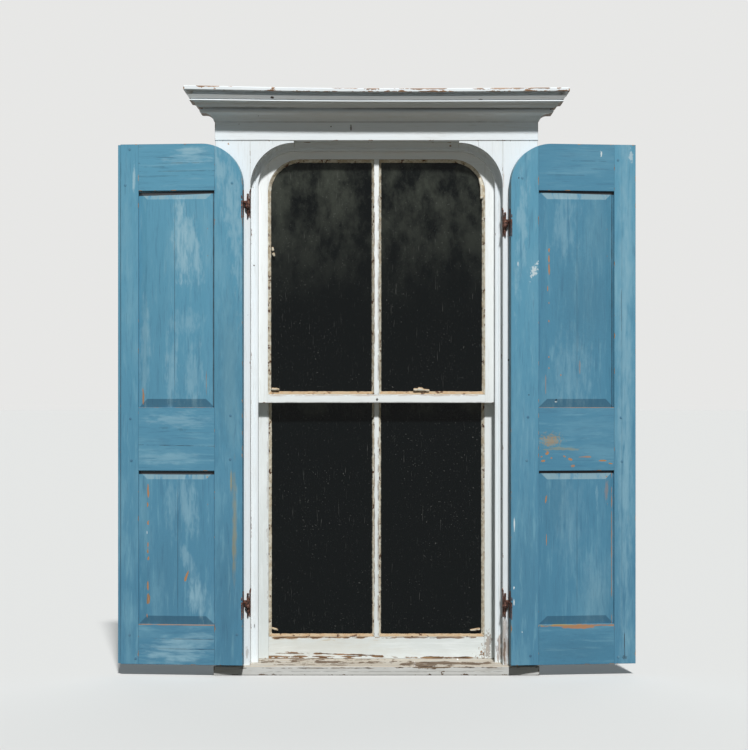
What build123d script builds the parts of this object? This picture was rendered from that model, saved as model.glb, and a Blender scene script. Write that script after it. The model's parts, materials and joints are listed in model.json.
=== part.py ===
from build123d import *
import os
from math import radians, tan

# A wooden double-hung sash window with a pair of rebated raised-panel shutters, in millimetres.
# X runs to the right, Y from the street into the room and Z up. The origin lies in the plane of
# the wall's face, on the centre line, level with the underside of the sill.
# Shutters are built closed, in the reveal, and swung open about their hinge pins at the end.

# Opening and casings
opening_w = 770.0          # clear width between the casings
opening_top = 1629.0       # underside of the frieze board
corner_r = 133.0           # rounded top corners of the opening
corner_tip = 6.0           # thickness of a corner block where it runs out under the frieze board
casing_w = 106.5
casing_t = 32.0
arris = 1.5                # softened edges of the boards
past = 1.0                 # how far a cut runs past what it cuts, and a joined piece into the other

# Frieze and crown
frieze_h = 144.5
frieze_t = 34.0
frieze_over = 1.5          # the frieze board stands past the casings on each side
cap_t = 12.5
cap_projection = 88.0      # from the face of the frieze board
# Crown moulding from its foot up. One point is a line to it, and two are an arc through the first;
# each is (out from the frieze board, up from the foot).
crown_curve = [
    [(3.0, 0.0)],
    [(10.5, 13.5), (27.0, 20.5)],              # cove
    [(36.0, 20.5)],
    [(43.0, 26.25), (36.0, 32.0)],             # bead
    [(33.0, 32.0)],
    [(33.0, 37.0)],
    [(41.0, 37.0)],
    [(53.5, 42.5), (58.0, 54.0)],              # ovolo
    [(61.5, 54.0)],
    [(63.5, 56.25), (61.5, 58.5)],             # small bead
    [(59.0, 58.5)],
    [(59.0, 61.5)],
    [(64.0, 61.5)],
    [(70.0, 72.5)],                            # leaning fascia
    [(59.0, 72.5)],
    [(59.0, 85.0)],
]

# Jambs and sill
jamb_t = 30.0
jamb_over = 4.0            # the jambs and sill run this far into the room past the inner stops
sill_over = 4.0            # the sill runs past the casings on each side
sill_edge = 28.0           # height of the sill's front edge
sill_nose = 15.0           # the sill stands this far in front of the casings
sill_slope = 4.0           # degrees
drip_r = 3.0               # groove under the nose
drip_inset = 12.0

# Stops, one behind the other across the jamb
stop_clear = 3.0           # between the closed shutters and the outer stops
stop_t = 19.0
stop_w = 22.0
stop_fascia = 10.0         # flat band of the outer stop, before its quirk and bead
quirk = 2.0
quirk_d = 3.5
bead_set = 2.0             # the outer stop's bead lies this far behind its band
bead_corner = 1.0          # beside the quirk
bead_nose = 3.0            # rounding at the opening's edge
running_gap = 1.0          # each side of a sash in its track
bead_w = 12.0
bead_t = 6.0
inner_stop_t = 14.0

# Sashes
sash_t = 30.0
sash_side_gap = 1.5
stile_w = 60.0             # from the edge to the glass
top_rail_h = 59.5
meeting_rail_h = 36.0
bottom_rail_h = 78.0
meeting_z = 829.0          # underside of both meeting rails
muntin_w = 30.0
muntin_fin = 15.0
rabbet_w = 11.0
rabbet_d = 15.0
glass_t = 3.0
glass_edge_gap = 3.0
pane_corner_r = 90.0       # rounded top corners of the upper sash's glass
putty_edge = 0.8           # flat left on the putty where it meets the sash's face
stick_w = 8.0              # moulding on the room side of the glass
stick_d = 10.0
stick_flat = 2.0           # step at the room side of that moulding
stick_belly = (0.35, 0.5)  # share of its width and depth where it bends
seat_gap = 0.4             # between parts that close on each other

# Sash lock and lifts
lock_x = 62.0              # beside the muntin
lock_base_w = 56.0
lock_base_d = 22.0
lock_base_h = 4.0
lock_base_r = 7.7          # rounded corners
lock_post_r = 4.0
lock_fit = 0.35            # clearance round the lock's post
rivet_head = 1.6
lever_t = 3.5
cam_r = 29.0
cam_spread = 0.35          # half its width for each unit of its length
hub_inset = 1.0            # the lever's hub is this much smaller than the base is deep
handle_len = 40.0
handle_w = 8.0
knob_r = 5.2
knob_proud = 2.0
keeper_w = 46.0
keeper_t = 2.5
keeper_inset = 1.0         # from the upper sash's back and from its glass
keeper_play = 1.0          # above the latched cam
lift_w = 44.0
lift_h = 26.0
lift_reach = 18.0
lift_t = 3.0
lift_curl = 6.0            # the lip hangs this far below the lift's roof
lift_x = 180.0             # middle of each lift from the centre line

# Shutters, in the closed position
shutter_t = 30.0
side_gap = 3.0             # between a closed shutter and the casing
head_gap = 7.0             # under the rounded corners
shutter_bottom = 34.5      # above the underside of the sill
shutter_set = 4.0          # outer face behind the casings' face
hinge_stile_w = 86.0
meeting_stile_w = 56.0
top_rail_w = 142.0
lock_rail_w = 192.0
bottom_rail_w = 122.0
lock_rail_z = 623.5        # underside of the lock rail
lap = 11.0                 # rebated lip on each meeting stile
lap_gap = 2.0
lap_clear = 0.5            # each lip is thinner than half a shutter by this much
groove_set = 8.0           # panel groove behind the face that shows when the shutters are open
groove_w = 10.0
groove_d = 9.0
panel_clear = 0.3
bevel_w = 26.0
field_set = 2.5            # the raised field lies this far behind the same face
tenon_t = 10.0
tenon_len = 50.0           # in the hinge stile
meeting_tenon_len = 31.0   # in the narrower meeting stile
tenon_shoulder = 22.0
top_tenon_w = 58.0
tenon_clear = 0.15

# Hinges
hinge_low_z = 217.0        # middle of the lower hinges
left_hinge_drop = 56.0     # middle of the upper hinge below the spring of the rounded corner
right_hinge_drop = 113.0
hinge_out = 7.0            # pin outside the opening's edge
hinge_front = 7.0          # pin in front of the casings' face
hinge_leaf_h = 82.0
hinge_leaf_d = 26.0
hinge_leaf_t = 3.0
mortise_clear = 0.2
knuckle_r = 8.0
knuckle_h = 22.0
knuckle_clear = 0.3
pin_r = 3.5
pin_fit = 0.3
pin_proud = 2.0
arm_t = 7.0
left_open = 185.5          # degrees from closed, as they hang in the photograph
right_open = 187.0         # degrees from closed

# Places that follow from the sizes above
half = opening_w / 2
face_y = -casing_t
nose_y = face_y - sill_nose
arc_x = half - corner_r
arc_top = opening_top - corner_tip
arc_z = arc_top - corner_r
frieze_half = half + casing_w + frieze_over
frieze_top = opening_top + frieze_h
frieze_face = -frieze_t
crown_z = frieze_top - crown_curve[-1][-1][1]
closed_y = face_y + shutter_set
shutter_face = closed_y + shutter_t
stop_front = shutter_face + stop_clear
stop_back = stop_front + stop_t
upper_y = stop_back + running_gap
bead_y = upper_y + sash_t + running_gap
lower_y = bead_y + bead_t + running_gap
inner_stop_y = lower_y + sash_t + running_gap
jamb_depth = inner_stop_y + inner_stop_t + jamb_over
sill_half = half + casing_w + sill_over
sash_half = half - sash_side_gap
hinge_edge = half - side_gap
leaf_w = hinge_edge - (lap + lap_gap) / 2
shutter_top = arc_top - head_gap
pin_x = half + hinge_out
pin_y = face_y - hinge_front
left_hinge_high_z = arc_z - left_hinge_drop
right_hinge_high_z = arc_z - right_hinge_drop


def block(x, y, z):
    """A box between pairs of coordinates, given in either order."""
    spans = [sorted(pair) for pair in (x, y, z)]
    sizes = [high - low for low, high in spans]
    centre = [(low + high) / 2 for low, high in spans]
    return Pos(*centre) * Box(*sizes)


def face_on(plane, *points):
    """A flat face on a plane, from its corners."""
    return make_face(plane * Polyline(*points, close=True))


def along_x(points, x):
    """A profile of (y, z) points, run from one x to another."""
    low, high = sorted(x)
    return extrude(face_on(Plane.YZ.offset(low), *points), high - low, dir=(1, 0, 0))


def along_z(points, z):
    """A profile of (x, y) points, run from one z to another."""
    low, high = sorted(z)
    return extrude(face_on(Plane.XY.offset(low), *points), high - low, dir=(0, 0, 1))


def along_y(face, y):
    """A face drawn on the XZ plane, as a plate from one y to another."""
    low, high = sorted(y)
    return extrude(Pos(0, low, 0) * face, high - low, dir=(0, 1, 0))


def rod(x, y, radius, z):
    low, high = sorted(z)
    return Pos(x, y, (low + high) / 2) * Cylinder(radius, high - low)


def flip(solid):
    """The same piece on the other side of the centre line."""
    return mirror(solid, about=Plane.YZ)


def both_sides(name, right):
    """A pair of mirrored pieces, built on the right."""
    return {f"right_{name}": right, f"left_{name}": flip(right)}


def arched(x, z, radius):
    """A face on the XZ plane between pairs of coordinates, its last top corner rounded."""
    (x0, x1), (z0, z1) = x, z
    if radius <= 0:
        return face_on(Plane.XZ, (x0, z0), (x1, z0), (x1, z1), (x0, z1))
    turn = radius if x1 > x0 else -radius
    diagonal = 0.5 ** 0.5
    corner = Plane.XZ * ThreePointArc(
        (x1, z1 - radius),
        (x1 - turn + turn * diagonal, z1 - radius + radius * diagonal),
        (x1 - turn, z1),
    )
    rest = Plane.XZ * Polyline((x1 - turn, z1), (x0, z1), (x0, z0), (x1, z0), (x1, z1 - radius))
    return make_face([*corner.edges(), *rest.edges()])


def sill_top(y):
    return sill_edge + (y - nose_y) * tan(radians(sill_slope))


def sill_wedge(lift=0.0):
    """Everything under the sill's top, raised by lift, for the pieces that stand on it."""
    points = [(nose_y, 0), (jamb_depth, 0), (jamb_depth, sill_top(jamb_depth)), (nose_y, sill_edge)]
    return Pos(0, 0, lift) * along_x(points, (-sill_half, sill_half))


def sill():
    body = sill_wedge()
    nose = body.edges().filter_by(Axis.X).sort_by(Axis.Y)[:2]
    body = fillet(nose, arris * 2)
    jamb_out = half + jamb_t
    horn = block((jamb_out, sill_half * 2), (0, jamb_depth * 2), (-sill_edge, sill_edge * 3))
    groove = Pos(0, nose_y + drip_inset, 0) * Rot(0, 90, 0) * Cylinder(drip_r, sill_half * 4)
    return body - horn - flip(horn) - groove


def jambs():
    seat = sill_wedge()
    side = block((half, half + jamb_t), (0, jamb_depth), (0, opening_top)) - seat
    out = half + jamb_t
    head = block((-out, out), (0, jamb_depth), (opening_top, opening_top + jamb_t))
    return both_sides("jamb", side) | {"head_jamb": head}


def hinge_heights(high_z):
    return (hinge_low_z, high_z)


def casing(high_z):
    """A side casing with its hinge mortises and a relief behind each knuckle."""
    body = block((half, half + casing_w), (face_y, 0), (0, opening_top)) - sill_wedge()
    front = body.edges().filter_by(Axis.Z).sort_by(Axis.Y)[:2]
    body = chamfer(front, arris)
    for z in hinge_heights(high_z):
        leg = hinge_leaf_h / 2 + mortise_clear
        depth = (face_y, face_y + hinge_leaf_d + mortise_clear)
        body -= block((half - past, half + hinge_leaf_t), depth, (z - leg, z + leg))
        reach = knuckle_h / 2 + mortise_clear
        body -= rod(pin_x, pin_y, knuckle_r + mortise_clear, (z - reach, z + reach))
    return body


def corner_block():
    """The spandrel that rounds a top corner of the opening, running out to a thin tip."""
    diagonal = 0.5 ** 0.5
    arc = Plane.XZ * ThreePointArc(
        (half, arc_z),
        (arc_x + corner_r * diagonal, arc_z + corner_r * diagonal),
        (arc_x, arc_top),
    )
    rest = Plane.XZ * Polyline((arc_x, arc_top), (arc_x, opening_top), (half, opening_top), (half, arc_z))
    return along_y(make_face([*arc.edges(), *rest.edges()]), (face_y, stop_front))


def frieze_board():
    board = block((-frieze_half, frieze_half), (frieze_face, 0), (opening_top, frieze_top))
    low_front = board.edges().filter_by(Axis.X).sort_by(Axis.Y)[:2].sort_by(Axis.Z)[0]
    return chamfer(low_front, arris)


def crown_profile():
    """Outline of the crown as (distance out from the frieze board, height)."""
    edges = []
    last = (0, crown_z)
    for *through, end in crown_curve:
        points = [last, *((out, crown_z + up) for out, up in (*through, end))]
        edges += (ThreePointArc(*points) if through else Line(*points)).edges()
        last = points[-1]
    back = Polyline(last, (0, frieze_top), (0, crown_z))
    return [*edges, *back.edges()]


def crown():
    """Crown moulding in three mitred lengths, with the cap board on top."""
    on_front = Plane((0, frieze_face, 0), x_dir=(0, -1, 0), z_dir=(-1, 0, 0))
    on_side = Plane((frieze_half, 0, 0), x_dir=(1, 0, 0), z_dir=(0, -1, 0))
    section = make_face(crown_profile())
    out = cap_projection
    long = frieze_half + out
    front = Pos(long, 0, 0) * extrude(on_front * section, long * 2)
    side = extrude(on_side * section, frieze_t + out)
    tall = (crown_z - past, frieze_top + past)
    corner, tip = (frieze_half, frieze_face), (long, frieze_face - out)
    beyond = along_z([corner, tip, (long * 2, tip[1]), (long * 2, past), (frieze_half, past)], tall)
    front = front - beyond - flip(beyond)
    side = side & block((frieze_half, long), (frieze_face - out, 0), tall)
    side = side - along_z([corner, tip, (frieze_half, tip[1])], tall)
    cap = block((-long, long), (frieze_face - out, 0), (frieze_top, frieze_top + cap_t))
    edges = cap.edges().filter_by(Axis.X).sort_by(Axis.Y)[:2]
    return {"crown_moulding": front, "crown_cap": chamfer(edges, arris)} | both_sides("crown_return", side)


def stop_profile(fill=0.0):
    """Outer stop as (distance into the opening, y): a band, a quirk and a rounded bead."""
    bead = stop_fascia + quirk
    low = stop_front + bead_set
    return [
        (-fill, stop_front),
        (stop_fascia, stop_front),
        (stop_fascia, stop_front + quirk_d),
        (bead, stop_front + quirk_d),
        (bead, low + bead_corner),
        (bead + bead_corner, low),
        (stop_w - bead_nose, low),
        (stop_w - bead_nose / 3, low + bead_nose / 3),
        (stop_w, low + bead_nose),
        (stop_w, stop_back),
        (-fill, stop_back),
    ]


def outer_stops():
    side = along_z([(half - u, y) for u, y in stop_profile()], (0, arc_z)) - sill_wedge()
    head = along_x([(y, arc_top - u) for u, y in stop_profile(corner_tip)], (-arc_x, arc_x))
    ring = revolve(
        face_on(Plane.XY.offset(arc_z), *[(half - u, y) for u, y in stop_profile()]),
        Axis((arc_x, 0, arc_z), (0, -1, 0)),
        90,
    )
    square = block((arc_x, half), (stop_front, stop_back), (arc_z, opening_top))
    inside = Pos(arc_x, 0, arc_z) * Rot(90, 0, 0) * Cylinder(corner_r, jamb_depth * 3)
    return (
        both_sides("outer_stop", side)
        | both_sides("corner_stop", ring + (square - inside))
        | {"head_outer_stop": head}
    )


def inner_stops():
    seat = sill_wedge()
    bead = block((half - bead_w, half), (bead_y, bead_y + bead_t), (0, opening_top)) - seat
    deep = (inner_stop_y, inner_stop_y + inner_stop_t)
    side = block((half - bead_w, half), deep, (0, opening_top)) - seat
    room_edge = side.edges().filter_by(Axis.Z).group_by(Axis.Y)[-1].sort_by(Axis.X)[0]
    side = fillet(room_edge, bead_w / 3)
    head = block((-half + bead_w, half - bead_w), deep, (opening_top - bead_w, opening_top))
    return both_sides("parting_bead", bead) | both_sides("inner_stop", side) | {"head_inner_stop": head}


def sash_section(width, moulded=True):
    """A sash member as (distance from its outer edge, depth): rabbet in front, moulding behind."""
    rabbet = [(0, 0), (width - rabbet_w, 0), (width - rabbet_w, rabbet_d), (width, rabbet_d)]
    if not moulded:
        return [*rabbet, (width, sash_t), (0, sash_t)]
    belly_in, belly_back = stick_belly
    return [
        *rabbet,
        (width, sash_t - stick_d),
        (width - stick_w * belly_in, sash_t - stick_d * belly_back),
        (width - stick_w, sash_t - stick_flat),
        (width - stick_w, sash_t),
        (0, sash_t),
    ]


def meeting_filler(y, z):
    """The thickening of a meeting rail that closes its half of the gap between the sashes."""
    reach = half - bead_w - running_gap
    return block((-reach, reach), y, z)


def sash(name, front_y, z_low, z_high, low_h, high_h, rounded, lock_side):
    """One sash: stiles, two rails, a muntin, its panes and their putty."""
    sight_low, sight_high = z_low + low_h, z_high - high_h
    sight_x = sash_half - stile_w
    shoulder_x = sight_x + rabbet_w
    back_y = front_y + sash_t

    stile = along_z([(sash_half - u, front_y + v) for u, v in sash_section(stile_w)], (z_low, z_high))
    across = (-shoulder_x, shoulder_x)
    low = along_x([(front_y + v, z_low + u) for u, v in sash_section(low_h, lock_side == "high")], across)
    high = along_x([(front_y + v, z_high - u) for u, v in sash_section(high_h)], across)
    if rounded:
        high += corner_fill(front_y, sight_x, sight_high) + flip(corner_fill(front_y, sight_x, sight_high))
    fin, bar = muntin_fin / 2, muntin_w / 2
    muntin = along_z(
        [
            (-fin, front_y),
            (fin, front_y),
            (fin, front_y + rabbet_d),
            (bar, front_y + rabbet_d),
            (bar, back_y - stick_d),
            (bar - stick_w, back_y),
            (-bar + stick_w, back_y),
            (-bar, back_y - stick_d),
            (-bar, front_y + rabbet_d),
            (-fin, front_y + rabbet_d),
        ],
        (sight_low - rabbet_w, sight_high + rabbet_w),
    )
    left_stile = flip(stile)
    rail_z = {"low": (z_low, z_low + low_h), "high": (z_high - high_h, z_high)}
    if lock_side == "low":
        low += meeting_filler((back_y, (bead_y + bead_t / 2) - seat_gap / 2), rail_z["low"])
    else:
        high += meeting_filler((front_y, (bead_y + bead_t / 2) + seat_gap / 2), rail_z["high"])
        seat = sill_wedge(seat_gap)
        stile, left_stile, low = stile - seat, left_stile - seat, low - seat
    low = low - stile - left_stile
    high = high - stile - left_stile
    muntin = muntin - low - high

    radius = pane_corner_r if rounded else 0.0
    panes, putty = glazing(front_y, (bar, sight_x), (sight_low, sight_high), radius)
    low_name, high_name = ("meeting_rail", "top_rail") if lock_side == "low" else ("bottom_rail", "meeting_rail")
    return {
        f"{name}_right_stile": stile,
        f"{name}_left_stile": left_stile,
        f"{name}_{low_name}": low,
        f"{name}_{high_name}": high,
        f"{name}_muntin": muntin,
        f"{name}_panes": panes,
        f"{name}_putty": putty,
    }


def corner_fill(front_y, sight_x, sight_z):
    """The wood that rounds a top corner of the upper sash, rabbeted like the rails."""
    turn_x, turn_z = sight_x - pane_corner_r, sight_z - pane_corner_r
    deep = {
        rabbet_w: (front_y, front_y + rabbet_d),
        0.0: (front_y + rabbet_d, front_y + sash_t - stick_d),
    }
    fill = None
    for extra, y in deep.items():
        square = block((turn_x, sight_x + extra), y, (turn_z, sight_z + extra))
        hole = Pos(turn_x, 0, turn_z) * Rot(90, 0, 0) * Cylinder(pane_corner_r + extra, jamb_depth * 3)
        piece = square - hole
        fill = piece if fill is None else fill + piece
    return fill


def glazing(front_y, x, z, radius):
    """Both panes of a sash, and the putty that holds them in from the street side."""
    bar_gap = (muntin_w - muntin_fin) / 2
    glass_y = front_y + rabbet_d - glass_t

    def outline(grow_bar, grow):
        corner = radius + grow if radius else 0.0
        return arched((x[0] - grow_bar, x[1] + grow), (z[0] - grow, z[1] + grow), corner)

    edge = rabbet_w - glass_edge_gap
    pane = along_y(outline(bar_gap - glass_edge_gap, edge), (glass_y, glass_y + glass_t))
    ring = along_y(outline(bar_gap, rabbet_w), (front_y + putty_edge, glass_y))
    mouth = outline(bar_gap - putty_edge, rabbet_w - putty_edge)
    bevel = loft([Pos(0, front_y + putty_edge, 0) * mouth, Pos(0, glass_y, 0) * outline(0, 0)], ruled=True)
    bed = ring - bevel
    return Compound(children=[pane, flip(pane)]), Compound(children=[bed, flip(bed)])


def lock_lever(post_y, z):
    """The cast lever: a cam that hooks under the keeper, and a handle on the other side."""
    level = (z, z + lever_t)
    through = (z - past, z + lever_t + past)
    reach = cam_r * 1.2
    spread = reach * cam_spread
    wedge = along_z([(0, post_y), (-reach, post_y - spread), (-reach, post_y + spread)], through)
    cam = rod(0, post_y, cam_r, level) & wedge
    hub = rod(0, post_y, lock_base_d / 2 - hub_inset, level)
    grip = block((0, handle_len), (post_y - handle_w / 2, post_y + handle_w / 2), level)
    tip = rod(handle_len, post_y, knob_r, (z, z + lever_t + knob_proud))
    return Pos(lock_x, 0, 0) * (hub + cam + grip + tip - rod(0, post_y, lock_post_r + lock_fit, through))


def sash_lock():
    """Cam lock on the lower meeting rail, and its keeper on the upper one."""
    rail_top = meeting_z + meeting_rail_h
    post_y = lower_y + sash_t / 2
    deck = rail_top + lock_base_h
    lever_z = deck + seat_gap
    over = lever_z + lever_t + seat_gap
    wide, deep = lock_base_w / 2, lock_base_d / 2
    base = block((-wide, wide), (post_y - deep, post_y + deep), (rail_top, deck))
    base = fillet(base.edges().filter_by(Axis.Z), lock_base_r)
    base += rod(0, post_y, lock_post_r, (deck, over))
    base += rod(0, post_y, lock_post_r + rivet_head, (over, over + rivet_head))

    wall_y = upper_y + rabbet_d + keeper_inset
    lip_y = upper_y + sash_t - keeper_inset
    lip_z = lever_z + lever_t + keeper_play
    keeper = along_x(
        [
            (wall_y, rail_top),
            (lip_y, rail_top),
            (lip_y, rail_top + keeper_t),
            (wall_y + keeper_t, rail_top + keeper_t),
            (wall_y + keeper_t, lip_z),
            (lip_y, lip_z),
            (lip_y, lip_z + keeper_t),
            (wall_y, lip_z + keeper_t),
        ],
        (-keeper_w / 2, keeper_w / 2),
    )
    return {
        "sash_lock_base": Pos(lock_x, 0, 0) * base,
        "sash_lock_lever": lock_lever(post_y, lever_z),
        "sash_lock_keeper": Pos(lock_x, 0, 0) * keeper,
    }


def sash_lifts():
    """Two finger lifts on the room side of the lower sash's bottom rail."""
    back_y = lower_y + sash_t
    plate_y, inner_y, out_y = back_y + lift_t, back_y + lift_reach - lift_t, back_y + lift_reach
    middle = sill_top(lower_y) + bottom_rail_h / 2
    low, high = middle - lift_h / 2, middle + lift_h / 2
    curl = high - lift_t - lift_curl
    hook = along_x(
        [
            (back_y, low),
            (plate_y, low),
            (plate_y, high - lift_t),
            (inner_y, high - lift_t),
            (inner_y, curl),
            (out_y, curl),
            (out_y, high),
            (back_y, high),
        ],
        (lift_x - lift_w / 2, lift_x + lift_w / 2),
    )
    return {"sash_lifts": Compound(children=[hook, flip(hook)])}


def frame_hinges(high_z):
    """Jamb halves of one side's two hinges: a leaf let into the casing, a knuckle and its pin."""
    solids = []
    for z in hinge_heights(high_z):
        leg = hinge_leaf_h / 2
        low, middle = z - knuckle_h / 2, z - knuckle_clear / 2
        leaf = block((half, half + hinge_leaf_t), (face_y, face_y + hinge_leaf_d), (z - leg, z + leg))
        arm = block((half, half + hinge_leaf_t), (pin_y, face_y + past), (low, middle))
        knuckle = rod(pin_x, pin_y, knuckle_r, (low, middle))
        pin = rod(pin_x, pin_y, pin_r, (low, z + knuckle_h / 2 + pin_proud))
        solids.append(leaf + arm + knuckle + pin)
    return solids


def shutter_hinges(high_z):
    """Shutter halves of the hinges, closed: the eye drops over the pin on a bent arm."""
    solids = []
    for z in hinge_heights(high_z):
        leg = hinge_leaf_h / 2
        high, middle = z + knuckle_h / 2, z + knuckle_clear / 2
        leaf_x = (hinge_edge - hinge_leaf_t, hinge_edge)
        leaf = block(leaf_x, (closed_y, closed_y + hinge_leaf_d), (z - leg, z + leg))
        across = block((leaf_x[0], pin_x), (pin_y - arm_t / 2, pin_y + arm_t / 2), (middle, high))
        back = block(leaf_x, (pin_y, closed_y + past), (middle, high))
        eye = rod(pin_x, pin_y, knuckle_r, (middle, high))
        bore = rod(pin_x, pin_y, pin_r + pin_fit, (middle - past, high + past))
        solids.append(leaf + across + back + eye - bore)
    return solids


def shutter(high_z, lip_outside):
    """A shutter on the right, closed, as a dictionary of its pieces."""
    def leaf_block(u, v, z):
        """u runs from the hinge edge, v back from the face that shows when the shutter is open."""
        return block([hinge_edge - a for a in u], [shutter_face - a for a in v], z)

    full = (0, shutter_t)
    grooves = (groove_set, groove_set + groove_w)
    tenon_v = ((shutter_t - tenon_t) / 2, (shutter_t + tenon_t) / 2)
    stile_in, stile_out = hinge_stile_w, leaf_w - meeting_stile_w
    rails = {
        "bottom_rail": (shutter_bottom, shutter_bottom + bottom_rail_w),
        "lock_rail": (lock_rail_z, lock_rail_z + lock_rail_w),
        "top_rail": (shutter_top - top_rail_w, shutter_top),
    }
    panels = {
        "lower_panel": (rails["bottom_rail"][1], rails["lock_rail"][0]),
        "upper_panel": (rails["lock_rail"][1], rails["top_rail"][0]),
    }
    height = (shutter_bottom, shutter_top)
    outline = along_y(arched((-half, hinge_edge), height, corner_r - head_gap), (-casing_t, casing_t))

    hinge_stile = leaf_block((0, stile_in), full, height)
    meeting_stile = leaf_block((stile_out, leaf_w), full, height)
    lip_t = shutter_t / 2 - lap_clear
    lip_v = (shutter_t - lip_t, shutter_t) if lip_outside else (0, lip_t)
    meeting_stile += leaf_block((leaf_w - past, leaf_w + lap), lip_v, height)

    pieces = {}
    for name, (z0, z1) in rails.items():
        rail = leaf_block((stile_in, stile_out), full, (z0, z1))
        top = z0 + tenon_shoulder + top_tenon_w if name == "top_rail" else z1 - tenon_shoulder
        tenon_z = (z0 + tenon_shoulder, top)
        reach = (stile_in - tenon_len, stile_out + meeting_tenon_len)
        rail += leaf_block(reach, tenon_v, tenon_z)
        slot_z = (tenon_z[0] - tenon_clear, tenon_z[1] + tenon_clear)
        slot_v = (tenon_v[0] - tenon_clear, tenon_v[1] + tenon_clear)
        slot = leaf_block((reach[0] - tenon_clear, reach[1] + tenon_clear), slot_v, slot_z)
        hinge_stile -= slot
        meeting_stile -= slot
        pieces[name] = rail
    for name, (z0, z1) in panels.items():
        long = (z0 - groove_d, z1 + groove_d)
        channel = leaf_block((stile_in - groove_d, stile_out + groove_d), grooves, long)
        hinge_stile -= channel
        meeting_stile -= channel
        for rail in pieces:
            if rail in rails and (rails[rail][1] == z0 or rails[rail][0] == z1):
                pieces[rail] -= leaf_block((stile_in, stile_out), grooves, long)
    for name, span in panels.items():
        pieces[name] = raised_panel((stile_in, stile_out), span)
    for z in hinge_heights(high_z):
        leg = hinge_leaf_h / 2 + mortise_clear
        back = shutter_t - hinge_leaf_d - mortise_clear
        hinge_stile -= leaf_block((-past, hinge_leaf_t), (back, shutter_t + past), (z - leg, z + leg))
    pieces["hinge_stile"] = hinge_stile & outline
    pieces["top_rail"] &= outline
    pieces["meeting_stile"] = meeting_stile
    pieces["hinge_leaves"] = Compound(children=shutter_hinges(high_z))
    return pieces


def raised_panel(u, z):
    """A panel whose raised field is bevelled down to the tongue that sits in the grooves."""
    tongue = groove_d - panel_clear
    x = [hinge_edge - a for a in u]
    y = (shutter_face - groove_set - panel_clear, shutter_face - groove_set - groove_w + panel_clear)
    body = block((x[0] + tongue, x[1] - tongue), y, (z[0] - tongue, z[1] + tongue))

    def rectangle(inward, at):
        points = [(x[0] - inward, z[0] + inward), (x[1] + inward, z[0] + inward),
                  (x[1] + inward, z[1] - inward), (x[0] - inward, z[1] - inward)]
        return Pos(0, at, 0) * face_on(Plane.XZ, *points)

    field = loft([rectangle(panel_clear, y[0]), rectangle(bevel_w, shutter_face - field_set)], ruled=True)
    return body + field


def swing(piece, degrees, side):
    """Opens a shutter piece about its pins; side is 1 on the right and -1 on the left."""
    return piece.rotate(Axis((side * pin_x, pin_y, 0), (0, 0, 1)), side * degrees)


def build():
    lower_z = sill_top(lower_y) + seat_gap
    lower_top = meeting_z + meeting_rail_h
    upper_top = opening_top - 2 * running_gap
    right_hinges = frame_hinges(right_hinge_high_z)
    left_hinges = [flip(solid) for solid in frame_hinges(left_hinge_high_z)]
    nodes = {
        "sill": sill(),
        "right_casing": casing(right_hinge_high_z),
        "left_casing": flip(casing(left_hinge_high_z)),
        "frieze_board": frieze_board(),
        "right_frame_hinges": Compound(children=right_hinges),
        "left_frame_hinges": Compound(children=left_hinges),
    }
    nodes |= jambs() | both_sides("corner_block", corner_block()) | crown()
    nodes |= outer_stops() | inner_stops() | sash_lock() | sash_lifts()
    nodes |= sash("upper", upper_y, meeting_z, upper_top, meeting_rail_h, top_rail_h, True, "low")
    nodes |= sash("lower", lower_y, lower_z, lower_top, bottom_rail_h, meeting_rail_h, False, "high")
    for name, piece in shutter(right_hinge_high_z, lip_outside=False).items():
        nodes[f"right_shutter_{name}"] = swing(piece, right_open, 1)
    for name, piece in shutter(left_hinge_high_z, lip_outside=True).items():
        nodes[f"left_shutter_{name}"] = swing(flip(piece), left_open, -1)
    return nodes


os.makedirs("parts", exist_ok=True)
for node_name, shape in build().items():
    export_step(shape, f"parts/{node_name}.step")
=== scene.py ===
"""A double-hung window with a pair of panelled shutters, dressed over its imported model.

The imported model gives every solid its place. The classes below give each board its paint, each pane
its dust and each hinge its casting, and add the small pieces that the model leaves out.
"""

from __future__ import annotations

import json
import logging
import math
from collections.abc import Iterator, Sequence
from contextlib import contextmanager
from dataclasses import dataclass, replace
from enum import Enum
from functools import cache

import bpy
from mathutils import Matrix, Vector

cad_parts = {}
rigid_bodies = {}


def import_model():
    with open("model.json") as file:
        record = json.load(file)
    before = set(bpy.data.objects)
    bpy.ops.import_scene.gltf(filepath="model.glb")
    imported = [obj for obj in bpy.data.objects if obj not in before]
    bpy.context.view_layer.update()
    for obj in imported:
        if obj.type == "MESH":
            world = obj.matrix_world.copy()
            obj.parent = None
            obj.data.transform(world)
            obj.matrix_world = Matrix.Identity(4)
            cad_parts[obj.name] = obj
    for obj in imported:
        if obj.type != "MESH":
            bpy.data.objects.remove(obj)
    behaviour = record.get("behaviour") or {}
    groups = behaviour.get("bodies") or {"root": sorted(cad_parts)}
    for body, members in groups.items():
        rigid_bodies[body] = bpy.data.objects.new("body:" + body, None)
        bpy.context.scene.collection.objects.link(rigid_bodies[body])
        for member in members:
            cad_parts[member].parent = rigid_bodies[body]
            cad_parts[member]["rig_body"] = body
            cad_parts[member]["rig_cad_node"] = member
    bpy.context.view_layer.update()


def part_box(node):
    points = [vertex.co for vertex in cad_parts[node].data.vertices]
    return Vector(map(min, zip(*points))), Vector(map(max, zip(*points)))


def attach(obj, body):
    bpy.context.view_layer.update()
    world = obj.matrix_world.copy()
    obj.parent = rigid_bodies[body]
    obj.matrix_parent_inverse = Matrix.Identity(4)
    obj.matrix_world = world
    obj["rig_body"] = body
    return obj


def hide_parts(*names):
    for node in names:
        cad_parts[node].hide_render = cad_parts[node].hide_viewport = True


log = logging.getLogger("window")

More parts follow.
